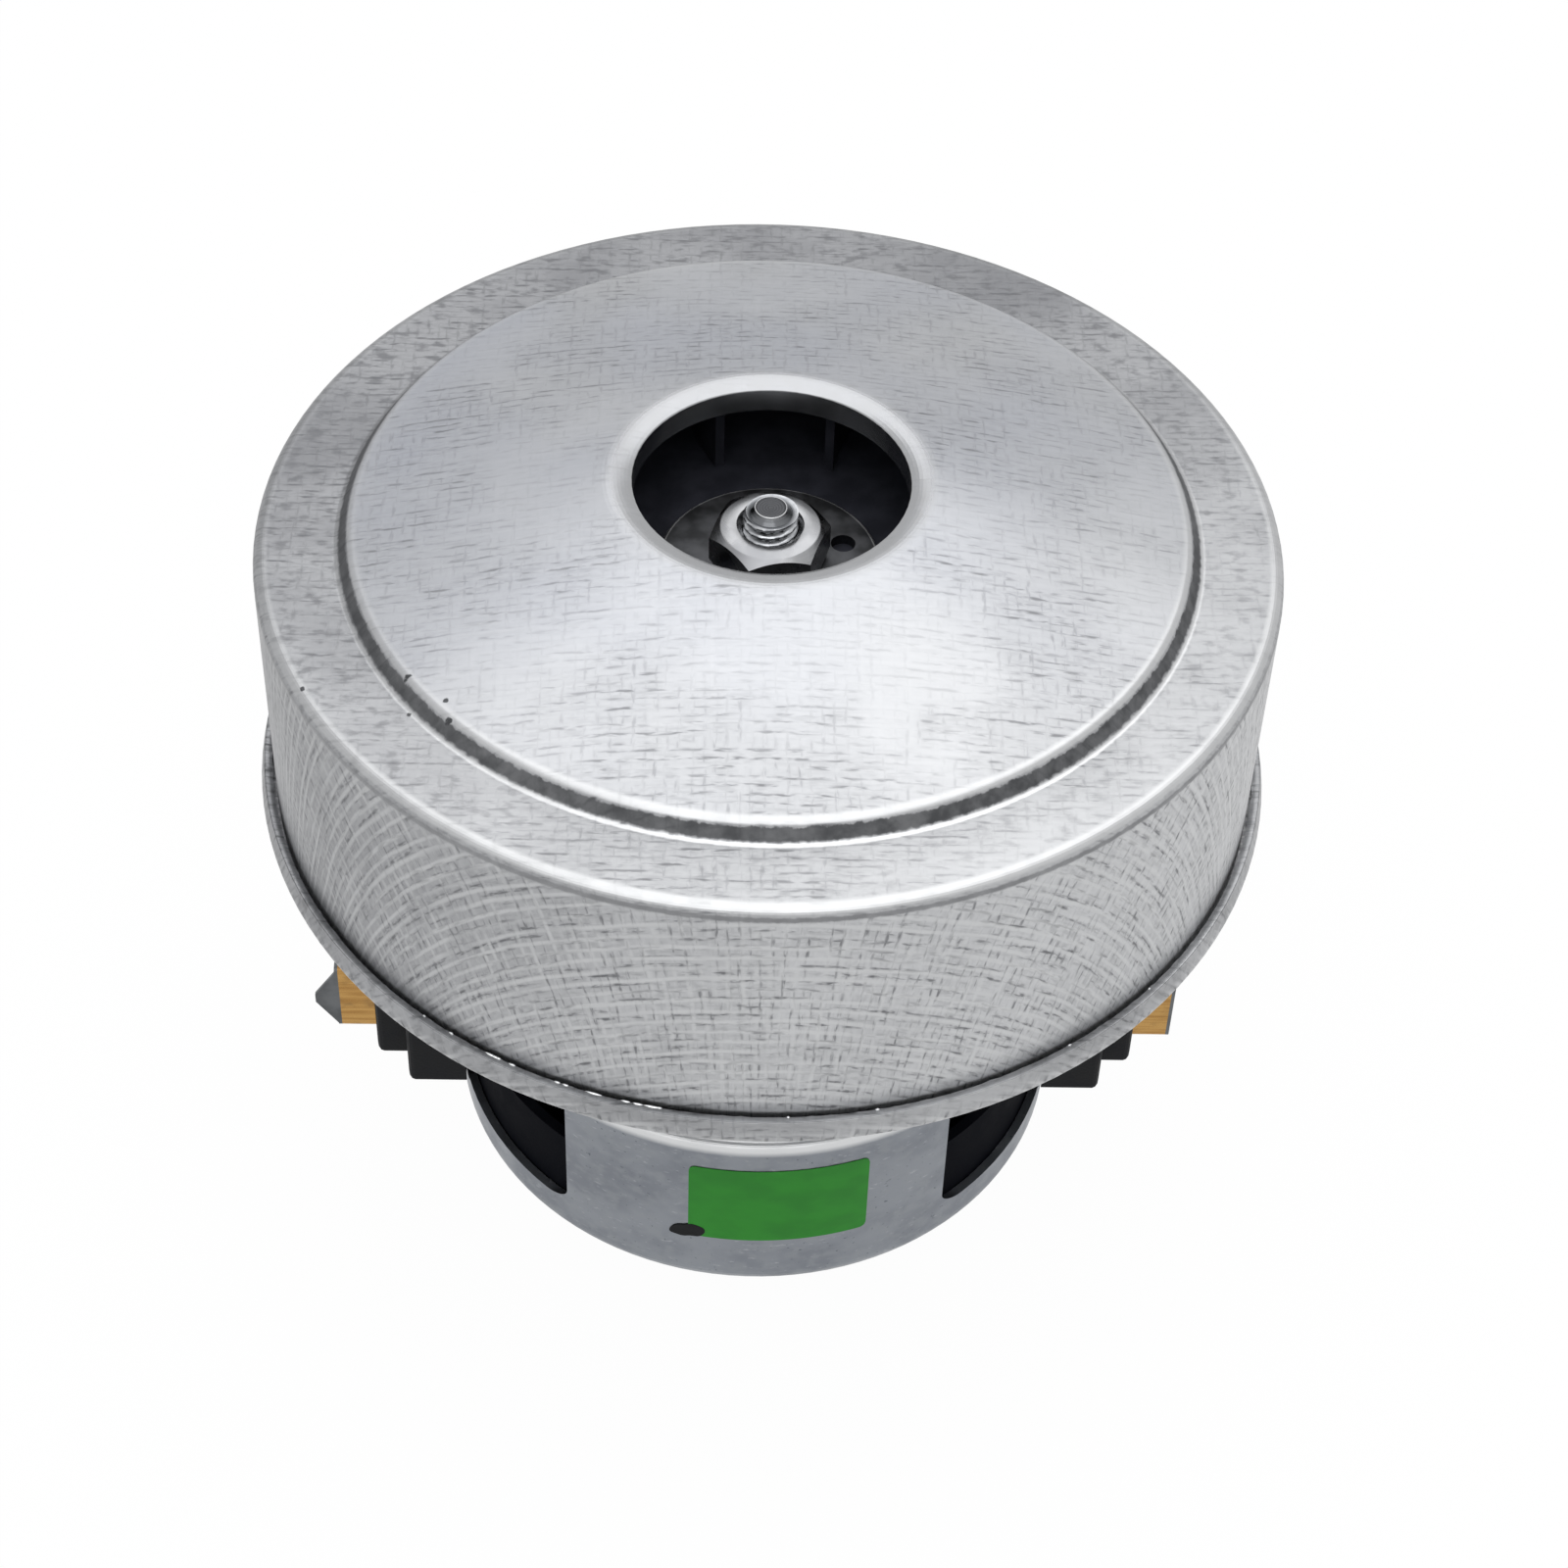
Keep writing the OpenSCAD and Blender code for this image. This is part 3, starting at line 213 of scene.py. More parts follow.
def galvanised_sheet(name, top, wall_r, undarkened_r, tones, bands=(), nicks=()):
    """Galvanised low-carbon steel, cold rolled and then deep drawn.

    Rolling leaves dull dashes and faint light scores along the strip and across it, like linen. Drawing
    carries them over the shoulder, where they open into hill-shaped arcs on the wall. Outside the
    undarkened radius the zinc is stained and darker towards the back left. Bands are places, by radius or
    height, with
    their own tone and roughness: a polished crest, painted highlights and painted shade. Nicks are small
    dark knocks, each with its place and size.
    """
    nick_tone = "#4A4B4D"
    nick_core = 0.6
    material, tree, shader = new_finish(name, tones["middle"], 0.38, 1.0)
    place = object_place(tree)
    height = shaft_height(tree, place)
    flat = flat_place(tree, place)
    radius = shaft_radius(tree, place)
    depth = add_node(tree, "ShaderNodeMath", {0: top * MM}, {1: height}, operation="SUBTRACT",
                     use_clamp=True).outputs[0]
    # A drawn wall comes from blank that lay further out, by about this share of its depth
    drawn_share = 0.8
    stretch = add_node(tree, "ShaderNodeMath", {1: drawn_share / (wall_r * MM), 2: 1.0}, {0: depth},
                       operation="MULTIPLY_ADD").outputs[0]
    blank = add_node(tree, "ShaderNodeVectorMath", links={"Vector": place, "Scale": stretch},
                     operation="SCALE").outputs[0]
    drawn = ramp(tree, depth, 0.5, 2.5, kind="SMOOTHSTEP")
    back_left = add_node(tree, "ShaderNodeVectorMath", {1: (-0.42, 0.91, 0)}, {0: place},
                         operation="DOT_PRODUCT").outputs["Value"]
    outside = ramp(tree, radius, undarkened_r - 1, undarkened_r)
    side = ramp(tree, back_left, -60, 28)
    shifted_tone_mask = product(tree, outside, side)

    cloud = flecks(tree, place, (20, 20, 20), 0.36, 0.66, 3.0, 3.0)
    rows = flecks(tree, blank, (9, 1.8, 0), 0.32, 0.6, 17.0)
    columns = flecks(tree, blank, (1.8, 7, 0), 0.32, 0.6, 23.0)
    # Uneven dashes, strongest where they fall on a row or a column
    row_dashes = product(tree, flecks(tree, blank, (2.2, 0.5, 0), 0.4, 0.64),
                         grade(tree, scores(tree, blank, "X", 1.2, 3.0), 0.25, 1.0))
    column_dashes = product(tree, flecks(tree, blank, (0.5, 1.8, 0), 0.4, 0.66, 9.0),
                            grade(tree, scores(tree, blank, "Y", 1.4, 12.0), 0.2, 1.0))
    row_scores = product(tree, scores(tree, blank, "X", 1.5, 5.0),
                         flecks(tree, blank, (14, 2.4, 0), 0.24, 0.6, 51.0))
    column_scores = product(tree, scores(tree, blank, "Y", 1.8, 8.0),
                            flecks(tree, blank, (3.0, 6, 0), 0.34, 0.76, 57.0))
    # Both families show in full on the wall; on flat parts the rows lead, and the clouds share them out
    across = product(tree, column_dashes, columns, grade(tree, drawn, 0.5, 0.9))
    share = largest(tree, grade(tree, cloud, 0.25, 0.8), drawn, shifted_tone_mask)
    dull = largest(tree, product(tree, row_dashes, rows), across)
    dull = product(tree, dull, share, grade(tree, drawn, 1.0, 0.9))
    lines = product(tree, largest(tree, row_scores, column_scores), grade(tree, drawn, 0.07, 0.74),
                    grade(tree, shifted_tone_mask, 1.0, 0.25))
    bluish = product(tree, side, grade(tree, outside, 0.9, 0.0),
                     flecks(tree, place, (40, 40, 40), 0.2, 0.75, 41.0))
    stains = product(tree, flecks(tree, place, (2.4, 1.3, 2.4), 0.5, 0.7, 61.0, 4.0), outside,
                     grade(tree, shifted_tone_mask, 0.25, 0.8), grade(tree, drawn, 1.0, 0.2))

    colour = shade(tree, cloud, tones["light"], tones["middle"])
    colour = shade(tree, bluish, colour, tones["bluish"])
    colour = shade(tree, product(tree, drawn, grade(tree, cloud, 1.0, 0.7)), colour, tones["drawn"])
    # Darker towards the back left, outside the undarkened radius
    colour = shade(tree, product(tree, shifted_tone_mask, grade(tree, cloud, 0.65, 0.95)), colour, tones["back_left_dark"])
    colour = shade(tree, product(tree, shifted_tone_mask, drawn), colour, tones["back_left_dark"])
    colour = shade(tree, stains, colour, tones["dash"])
    colour = shade(tree, dull, colour, tones["dash"])
    colour = shade(tree, lines, colour, tones["score"])
    rough = grade(tree, dull, 0.35, 0.5)
    uneven = flecks(tree, place, (1.0, 1.0, 1.0), 0.2, 0.8, 5.0, 3.0)
    patchy = grade(tree, flecks(tree, place, (2.5, 2.5, 2.5), 0.3, 0.7, 13.0, 3.0), 0.75, 1.0)
    # On the cover most bands are painted highlights or painted shade; the crest's band is a polish
    for way, start, end, soft_start, soft_end, ragged, kept, tone, roughness in bands:
        spot = combine(tree, "ADD", radius if way == "radius" else height,
                       grade(tree, uneven, -ragged * MM, ragged * MM))
        band = product(tree, ramp(tree, spot, start - soft_start, start),
                       ramp(tree, spot, end + soft_end, end), patchy, grade(tree, side, 1.0, kept))
        colour = shade(tree, band, colour, tone)
        rough = add_node(tree, "ShaderNodeMix", {"B": roughness}, {"Factor": band, "A": rough}).outputs[0]
    for x, y, size in nicks:
        core = nick_core * size
        away = add_node(tree, "ShaderNodeVectorMath", {1: (x * MM, y * MM, 0)}, {0: flat},
                        operation="DISTANCE").outputs["Value"]
        away = combine(tree, "ADD", away, grade(tree, uneven, -core * MM, core * MM))
        colour = shade(tree, ramp(tree, away, size, core), colour, nick_tone)
    dress(tree, shader, colour, rough, dull, -0.004)
    return material


def zinc_plated_frame():
    """Electro-zinc plate on a deep-drawn steel cup: satin and bluish, blotchy, with small scuffs.

    The joggle's band carries a painted highlight.
    """
    material, tree, shader = new_finish("zinc_plated_frame", "#858B93", 0.36, 1.0)
    place = object_place(tree)
    height = shaft_height(tree, place)
    cloud = flecks(tree, place, (9, 9, 7), 0.34, 0.68, 5.0, 4.0)
    blotch = flecks(tree, place, (2.2, 2.2, 1.6), 0.42, 0.7, 2.0, 4.0)
    scuffs = flecks(tree, place, (1.4, 1.4, 0.5), 0.62, 0.74, 31.0, 4.0)
    pits = flecks(tree, place, (0.7, 0.7, 0.5), 0.66, 0.74, 37.0, 3.0)
    # Painted highlight on the joggle band, where the bend faces up to the light
    joggle_highlight = product(tree, ramp(tree, height, 36.9, 37.9), ramp(tree, height, 41.5, 39.8))
    colour = shade(tree, cloud, "#868A90", "#7B7F86")
    colour = shade(tree, blotch, colour, "#878B90")
    colour = shade(tree, scuffs, colour, "#989BA0")
    colour = shade(tree, pits, colour, "#5F656D")
    # Painted highlight on the joggle
    colour = shade(tree, joggle_highlight, colour, "#D2D3D4")
    dress(tree, shader, colour, grade(tree, cloud, 0.32, 0.44), blotch, 0.004)
    return material


def black_moulding(name, colour, flow, roughness, shine):
    """Black glass-filled moulding: a dull skin with fine flow mottle and a little grit."""
    material, tree, shader = new_finish(name, colour, roughness, Specular_IOR_Level=shine)
    place = object_place(tree)
    mottle = flecks(tree, place, (4, 4, 4), 0.35, 0.7, 1.0, 3.0)
    # Grit of 0.1 mm is too fine to show, so it is drawn at 0.4 mm
    grit = flecks(tree, place, (0.4, 0.4, 0.4), 0.3, 0.7, 4.0)
    rough = grade(tree, mottle, roughness - 0.06, roughness + 0.08)
    dress(tree, shader, shade(tree, mottle, colour, flow), rough, grit, 0.01)
    return material


def rolled_brass():
    """Drawn brass tube: rolling streaks along the tube and a brown tarnish in patches."""
    material, tree, shader = new_finish("rolled_brass", "#AE8850", 0.30, 1.0)
    place = object_place(tree)
    streaks = flecks(tree, place, (9, 0.5, 0.5), 0.4, 0.7, 2.0)
    tarnish = flecks(tree, place, (5, 4, 4), 0.5, 0.72, 8.0, 4.0)
    colour = shade(tree, streaks, "#B68F55", "#9F7742")
    colour = shade(tree, tarnish, colour, "#8A6A42")
    dress(tree, shader, colour, grade(tree, tarnish, 0.26, 0.46), streaks, 0.004)
    return material


def turned_steel(name, colour, dull, roughness):
    """Turned or pressed steel: a bright ground with duller clouds and fine turning marks."""
    material, tree, shader = new_finish(name, colour, roughness, 1.0)
    place = object_place(tree)
    cloud = flecks(tree, place, (5, 5, 5), 0.36, 0.68, 6.0, 3.0)
    marks = flecks(tree, place, (3, 3, 0.25), 0.35, 0.7, 12.0)
    rough = grade(tree, cloud, roughness - 0.05, roughness + 0.1)
    dress(tree, shader, shade(tree, cloud, colour, dull), rough, marks, 0.003)
    return material


def faced_shaft():
    """Ground steel shaft: bright on its thread's flanks, dark and ringed on the end that was faced off."""
    material, tree, shader = new_finish("ground_shaft_steel", "#A3A5A8", 0.25, 1.0)
    place = object_place(tree)
    radius = shaft_radius(tree, place)
    height = shaft_height(tree, place)
    cloud = flecks(tree, place, (1.5, 1.5, 1.5), 0.36, 0.68, 6.0, 3.0)
    # Facing marks of 0.1 mm are drawn 0.35 mm apart to show
    spacing = 0.35
    marks = add_node(tree, "ShaderNodeTexWave",
                     {"Scale": WAVE_PERIOD / (spacing * MM), "Distortion": 1.0}, {"Vector": place},
                     wave_type="RINGS", rings_direction="Z").outputs["Fac"]
    end = product(tree, ramp(tree, radius, 1.98, 1.93), ramp(tree, height, tip_foot, tip_foot + 0.2))
    edge = product(tree, ramp(tree, radius, 2.2, 2.1), ramp(tree, height, tip_foot, tip_foot + 0.3))
    # Painted shade: darker inside 3.3 mm radius, in the thread's roots and on the tip's cone, but not on
    # the end
    groove_shade = product(tree, ramp(tree, radius, 3.3, 2.9), grade(tree, end, 1.0, 0.0))
    colour = shade(tree, cloud, "#B9BBBE", "#9A9CA0")
    # Painted shade in the thread's roots and on the tip's cone
    colour = shade(tree, groove_shade, colour, "#6E7073")
    colour = shade(tree, edge, colour, "#B8B9BB")
    colour = shade(tree, end, colour, shade(tree, marks, "#3E3F41", "#4E4F52"))
    dress(tree, shader, colour, grade(tree, cloud, 0.2, 0.34), marks, 0.004)
    return material


def blackened_washer():
    """Oxide-blackened steel washer, pale along its outer edge."""
    material, tree, shader = new_finish("blackened_washer", "#4B4C4E", 0.42, 1.0)
    place = object_place(tree)
    shifted_tone_mask = ramp(tree, shaft_radius(tree, place), 13.7, 13.9)
    cloud = flecks(tree, place, (3, 3, 3), 0.35, 0.7, 4.0, 4.0)
    colour = shade(tree, cloud, "#48494B", "#5C5D60")
    # Pale along the outer edge
    colour = shade(tree, shifted_tone_mask, colour, "#C2C3C4")
    dress(tree, shader, colour, grade(tree, cloud, 0.38, 0.5), cloud, 0.006)
    return material


def enamelled_wire():
    """Enamelled copper winding wire: copper under a clear amber lacquer."""
    material, tree, shader = new_finish("enamelled_wire", "#A65C2B", 0.32, 0.85, Coat_Weight=0.6)
    tone = flecks(tree, object_place(tree), (3, 3, 3), 0.3, 0.7, 2.0)
    dress(tree, shader, shade(tree, tone, "#B0642F", "#8A4A22"), grade(tree, tone, 0.26, 0.4))
    return material


def commutator_copper():
    """Turned copper segments with the brown film that the brushes leave on their track."""
    material, tree, shader = new_finish("commutator_copper", "#B3683A", 0.3, 1.0)
    place = object_place(tree)
    off_track = add_node(tree, "ShaderNodeMath", {1: brush_axis * MM}, {0: shaft_height(tree, place)},
                         operation="SUBTRACT").outputs[0]
    off_track = add_node(tree, "ShaderNodeMath", links={0: off_track}, operation="ABSOLUTE").outputs[0]
    marks = flecks(tree, place, (4, 4, 0.3), 0.35, 0.7, 3.0)
    colour = shade(tree, marks, "#BB7040", "#A65F35")
    colour = shade(tree, ramp(tree, off_track, 6, 5), colour, "#6B4630")
    dress(tree, shader, colour, grade(tree, marks, 0.25, 0.38), marks, 0.004)
    return material


def lamination_steel():
    """Stamped silicon-steel sheets in a stack: dark sheared edges with a line at every sheet."""
    material, tree, shader = new_finish("lamination_steel", "#5E6063", 0.5, 0.9)
    place = object_place(tree)
    # Sheets of 0.5 mm are drawn at 0.9 mm to show
    sheets = flecks(tree, place, (40, 40, 0.9), 0.42, 0.58, 1.0, 0.0)
    rust = flecks(tree, place, (6, 6, 2), 0.55, 0.75, 9.0, 4.0)
    colour = shade(tree, sheets, "#66686B", "#3F4144")
    colour = shade(tree, rust, colour, "#54463C")
    dress(tree, shader, colour, grade(tree, sheets, 0.45, 0.6), sheets, 0.05)
    return material


def phenolic_hub():
    """Brown moulded phenolic between the shaft and the copper segments."""
    material, tree, shader = new_finish("phenolic_hub", "#5A3B22", 0.5, IOR=1.6)
    filler = flecks(tree, object_place(tree), (0.8, 0.8, 0.8), 0.4, 0.7, 5.0, 4.0)
    dress(tree, shader, shade(tree, filler, "#553620", "#6B4A2D"), raised=filler, height=0.01)
    return material


def graphite():
    """Pressed carbon-graphite: dark grey, a little shiny along its sides."""
    material, tree, shader = new_finish("graphite", "#2B2B2C", 0.45, 0.3)
    grain = flecks(tree, object_place(tree), (0.5, 0.5, 0.5), 0.35, 0.7, 3.0, 4.0)
    colour = shade(tree, grain, "#262627", "#3A3A3C")
    dress(tree, shader, colour, grade(tree, grain, 0.38, 0.55), grain, 0.01)
    return material


def green_vinyl():
    """Bare green vinyl sticker: even colour, a soft sheen and slight ripples from being rolled on."""
    material, tree, shader = new_finish("green_vinyl", "#278422", 0.5, IOR=1.5, Specular_IOR_Level=0.2)
    ripple = flecks(tree, object_place(tree), (5, 5, 3), 0.3, 0.7, 2.0)
    dress(tree, shader, shade(tree, ripple, "#278422", "#21791F"), raised=ripple, height=0.015)
    return material


def marker_ink():
    """Black marker ink, dried thin at its edge."""
    material, tree, shader = new_finish("marker_ink", "#0C0C0E", 0.6, Specular_IOR_Level=0.15)
    film = flecks(tree, object_place(tree), (1.2, 1.2, 1.2), 0.3, 0.7, 7.0)
    dress(tree, shader, shade(tree, film, "#0A0A0C", "#121215"))
    return material


cover_tones = {
    "light": "#B1B2B4", "middle": "#A6A7A9", "bluish": "#9EA1AA", "back_left_dark": "#7B7C7F",
    "drawn": "#C2C3C5", "dash": "#67686B", "score": "#C9CACB",
}
dish_tones = {
    "light": "#ADAEB0", "middle": "#999A9C", "bluish": "#999A9C", "back_left_dark": "#7E7F82",
    "drawn": "#ABACAE", "dash": "#58595B", "score": "#C6C7C8",
}
# The press tool rubbed the inlet's crest smooth. The step's two edges and the shoulder carry painted
# highlights, and the step's wall and the line under the shoulder carry painted shade. Each band has its
# start, its end, how softly it starts and ends, how ragged its edges are, how much of it the back left
# keeps, its tone and its roughness.
cover_bands = [
    ("radius", 17.0, 19.6, 0.5, 1.6, 0.15, 1.0, "#9FA0A2", 0.22),
    # Painted highlight on the step's upper edge
    ("radius", 52.3, 53.05, 0.5, 0.15, 0.05, 0.2, "#BDBEBF", 0.3),
    # Painted shade on the step's wall, a dark reflection
    ("radius", 53.35, 54.2, 0.12, 0.2, 0.12, 0.7, "#48494B", 0.45),
    # Painted highlight on the step's foot
    ("radius", 54.5, 54.85, 0.12, 0.25, 0.08, 0.0, "#CACBCC", 0.28),
    # Painted highlight on the shoulder
    ("radius", 63.5, 64.6, 0.5, 0.15, 0.05, 0.15, "#BCBDBE", 0.32),
    # Painted shade on the line under the shoulder, a dark reflection
    ("height", 109.15, 109.6, 0.3, 0.25, 0.1, 0.3, "#808183", 0.4),
]
cover_nicks = [
    (-43.5, -29.9, 0.5), (-38.6, -34.2, 0.4), (-38.0, -37.0, 0.45),
    (-56.2, -29.9, 0.4), (-43.2, -34.1, 0.4),
]
step_r = 53.5
galvanised_cover = galvanised_sheet(
    "galvanised_cover", annulus, cover_r, step_r, cover_tones, cover_bands, cover_nicks)
galvanised_dish = galvanised_sheet("galvanised_dish", rim_top, rim_out_r, 0.0, dish_tones)
burr_steel = turned_steel("sheared_steel", "#E4E5E6", "#CFD1D2", 0.3)
frame_plate = zinc_plated_frame()
brush_moulding = black_moulding("black_moulding", "#141517", "#1C1D20", 0.55, 0.12)
fan_moulding = black_moulding("black_fan_moulding", "#25262C", "#2F3037", 0.5, 0.1)
# The window trays get a darker, duller moulding: painted shade for the dark inside seen through the windows
shade_tray_moulding = black_moulding("black_tray_moulding", "#0C0D12", "#131418", 0.7, 0.02)
tube_brass = rolled_brass()
terminal_plate = turned_steel("terminal_plate", "#696B6D", "#56585A", 0.4)
washer_black = blackened_washer()
nut_steel = turned_steel("zinc_plated_nut", "#9C9D9F", "#8E8F92", 0.25)
shaft_steel = faced_shaft()
fastener_steel = turned_steel("zinc_plated_screws", "#BFC2C4", "#A4A7AA", 0.34)
bearing_steel = turned_steel("bearing_steel", "#C4C6C8", "#B2B4B6", 0.22)
winding_copper = enamelled_wire()
bar_copper = commutator_copper()
stack_steel = lamination_steel()
hub_phenolic = phenolic_hub()
brush_carbon = graphite()
sticker_green = green_vinyl()
marker_black = marker_ink()

# The nodes that show as they are; pieces made below replace the others
cad_finishes = {
    galvanised_cover: ["fan_cover"],
    galvanised_dish: ["fan_base"],
    frame_plate: ["motor_frame"],
    brush_moulding: [
        "brush_holder_left", "brush_holder_right", "field_bobbin_front", "field_bobbin_back",
    ],
    # Painted shade behind the windows
    shade_tray_moulding: ["window_tray_left", "window_tray_right"],
    fan_moulding: ["impeller", "impeller_shroud", "diffuser"],
    tube_brass: ["brush_tube_left", "brush_tube_right"],
    terminal_plate: ["terminal_left", "terminal_right"],
    washer_black: ["hub_washer", "lower_washer"],
    fastener_steel: ["stator_spacers", "stator_nuts", "spacer_sleeve"],
    bearing_steel: [
        "upper_bearing_outer", "lower_bearing_outer", "upper_bearing_inner", "lower_bearing_inner",
        "upper_bearing_balls", "lower_bearing_balls", "preload_washer",
    ],
    bar_copper: ["commutator_bars"],
    hub_phenolic: ["commutator_hub"],
    stack_steel: ["stator_core", "armature_core"],
    brush_carbon: ["carbon_brush_left", "carbon_brush_right"],
}
for material, names in cad_finishes.items():
    for name in names:
        nodes[name].material_slots[0].material = material


def add_piece(name, bm, material, body, replaced=(), sharp_angle=35):
    """Makes an object from a mesh in mm, shades it and lets it ride on its body."""
    bmesh.ops.recalc_face_normals(bm, faces=bm.faces)
    bmesh.ops.scale(bm, vec=(MM, MM, MM), verts=bm.verts)
    mesh = bpy.data.meshes.new(name)
    bm.to_mesh(mesh)
    bm.free()
    mesh.materials.append(material)
    mesh.shade_smooth()
    mesh.set_sharp_from_angle(angle=math.radians(sharp_angle))
    piece = bpy.data.objects.new(name, mesh)
    bpy.context.scene.collection.objects.link(piece)
    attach(piece, body)
    if replaced:
        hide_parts(*replaced)
    return piece


def skin(bm, rings, looped=False):
    """Joins rings of equal length into a closed skin, looped end to end or with a cap on each end."""
    rows = [[bm.verts.new(point) for point in ring] for ring in rings]
    count = len(rows[0])
    pairs = list(zip(rows, rows[1:]))
    if looped:
        pairs.append((rows[-1], rows[0]))
    for low, high in pairs:
        for i in range(count):
            j = (i + 1) % count
            bm.faces.new((low[i], low[j], high[j], high[i]))
    if not looped:
        bm.faces.new(rows[0][::-1])
        bm.faces.new(rows[-1])


def turned_ring(z, segments, radius):
    """Points round the shaft; height and radius are functions of the angle in radians."""
    turns = [2 * math.pi * i / segments for i in range(segments)]
    return [(radius(a) * math.cos(a), radius(a) * math.sin(a), z(a)) for a in turns]


def circle(z, segments, r):
    """Points of a plain circle round the shaft."""
    return turned_ring(lambda a: z, segments, lambda a: r)


def thread_depth(z, a, pitch, width):
    """Share of a thread's depth at a height and an angle: 0 on its crest, 1 in a root of some width."""
    ridge = abs(2 * ((z / pitch - a / (2 * math.pi)) % 1.0) - 1)
    return min(1.0, max(0.0, width - 1.7 * ridge))


def wire(bm, path, radius, sides, looped):
    """A round wire along a path of points."""
    path = [Vector(p) for p in path]
    count = len(path)
    rings = []
    normal = None
    for i, point in enumerate(path):
        ahead = path[(i + 1) % count] if looped or i < count - 1 else point
        behind = path[i - 1] if looped or i > 0 else point
        tangent = (ahead - behind).normalized()
        if normal is None:
            normal = tangent.orthogonal().normalized()
        normal = (normal - tangent * normal.dot(tangent)).normalized()
        side = tangent.cross(normal)
        turns = [2 * math.pi * s / sides for s in range(sides)]
        rings.append([point + radius * (math.cos(a) * normal + math.sin(a) * side) for a in turns])
    skin(bm, rings, looped)


def lock_nut():
    """Hexagon nut with a crowned face, chamfered corners and a countersunk thread."""
    flats = 13.6
    crown_r = 6.4
    crown_fall = 0.3
    chamfer_slope = math.tan(math.radians(38))
    lean = math.radians(10)
    segments = 144

    def hexagon(a):
        return flats / 2 / math.cos((a - lean) % (math.pi / 3) - math.pi / 6)

    def chamfer(share):
        return lambda a: crown_r + share * (hexagon(a) - crown_r)

    def fall(share):
        return lambda a: crown_fall + chamfer_slope * share * (hexagon(a) - crown_r)

    face = [(chamfer(share), fall(share)) for share in (1.0, 0.97, 0.5, 0.08, 0.0)]
    # Radius and fall of the crown, the flat face and the countersink
    rounds = [
        (6.34, 0.26), (6.2, 0.22), (5.6, 0.08), (5.25, 0.02), (5.0, 0.0),
        (4.5, 0.0), (4.3, 0.02), (4.2, 0.1), (4.1, 0.25), (3.6, 0.85),
    ]
    face += [(lambda a, r=r: r, lambda a, z=z: z) for r, z in rounds]
    upper = [(radius, lambda a, drop=drop: nut_top - drop(a)) for radius, drop in face]
    lower = [(radius, lambda a, drop=drop: nut_foot + drop(a)) for radius, drop in reversed(face)]
    bm = bmesh.new()
    skin(bm, [turned_ring(z, segments, r) for r, z in lower + upper], looped=True)
    add_piece("hex_lock_nut", bm, nut_steel, "rotor", ["lock_nut"], 24)


def threaded_shaft():
    """Ground shaft with its steps, and a cut thread that ends in a turned, faced tip."""
    pitch = 1.25
    groove = 0.62
    root_width = 1.35
    run_out = 0.55
    thread_foot = 103.8
    thread_end = 113.75
    row_height = 0.08
    segments = 72
    axis_r = 0.02
    # Radius and height of the shaft's steps, and of the tip from its bevel to its centre
    steps = [
        (axis_r, 1.9), (3.4, 1.9), (4.0, 2.5), (4.0, 8.7), (5.0, 8.7),
        (5.0, 75.7), (4.0, 75.7), (4.0, thread_foot),
    ]
    tip = [
        (2.8, 113.6), (2.2, 114.22), (2.14, 114.32), (2.1, 114.44), (2.03, 114.5), (1.93, 114.5),
        (1.88, 114.48), (1.86, 114.43), (1.82, 114.4), (1.76, 114.4), (1.0, 114.4), (0.3, 114.39),
        (axis_r, 114.39),
    ]

    def thread(z):
        fade = min(1.0, (z - thread_foot) / pitch, max(0.0, (thread_end - z) / pitch + run_out))
        return lambda a: thread_r - groove * thread_depth(z, a, pitch, root_width) * max(0.0, fade)

    rings = [circle(z, segments, r) for r, z in steps]
    rows = int((thread_end - thread_foot) / row_height)
    for i in range(1, rows + 1):
        z = thread_foot + (thread_end - thread_foot) * i / rows
        rings.append(turned_ring(lambda a: z, segments, thread(z)))
    rings += [circle(z, segments, r) for r, z in tip]
    bm = bmesh.new()
    skin(bm, rings)
    add_piece("threaded_shaft", bm, shaft_steel, "rotor", ["shaft"], 40)


def recessed_screw(bm, x, y, seat, length, shank_r, head_r):
    """A pan-head screw that points up from its seat, with a cross recess in its head and a thread."""
    head_h = 2.2
    dome_h = 0.55
    recess_h = 1.25
    recess_rise = 0.55
    arm = 0.56 * head_r
    arm_half = 0.15 * head_r
    pitch = 0.7
    groove = 0.3
    root_width = 1.3
    run_out = 0.4
    row_height = 0.14
    segments = 64
    turns = [2 * math.pi * i / segments for i in range(segments)]

    def recess(r, a):
        u = abs(r * math.cos(a))
        v = abs(r * math.sin(a))
        inside = max(u, v) < arm and min(u, v) < arm_half
        return recess_h * (1 - recess_rise * max(u, v) / arm) if inside else 0.0

    def dome(r):
        return -head_h + dome_h * (r / head_r) ** 2.6

    head = [0.03, 0.1, 0.16, 0.2, 0.26, 0.32, 0.38, 0.44, 0.5, 0.54, 0.58, 0.66, 0.76, 0.86, 0.94]
    head_side = [
        (0.985 * head_r, -head_h * 0.64), (head_r, -head_h * 0.52), (head_r, -0.12), (0.97 * head_r, 0.0),
        (shank_r, 0.0),
    ]
    rings = []
    for share in head:
        r = share * head_r
        rings.append([(r * math.cos(a), r * math.sin(a), dome(r) + recess(r, a)) for a in turns])
    rings += [circle(z, segments, r) for r, z in head_side]
    rows = int(length / row_height)
    for i in range(1, rows + 1):
        z = length * i / rows
        fade = min(1.0, z / pitch, (length - z) / pitch + run_out)
        rings.append(turned_ring(lambda a: z, segments,
                                 lambda a: shank_r - groove * fade * thread_depth(z, a, pitch, root_width)))
    turn = Matrix.Rotation(math.atan2(y, x) + 0.6, 3, "Z")
    place = Vector((x, y, seat))
    skin(bm, [[place + turn @ Vector(p) for p in ring] for ring in rings])


def around(r, *angles):
    """Places round the shaft at one radius, by their angles in degrees."""
    return [(r * math.cos(math.radians(a)), r * math.sin(math.radians(a))) for a in angles]


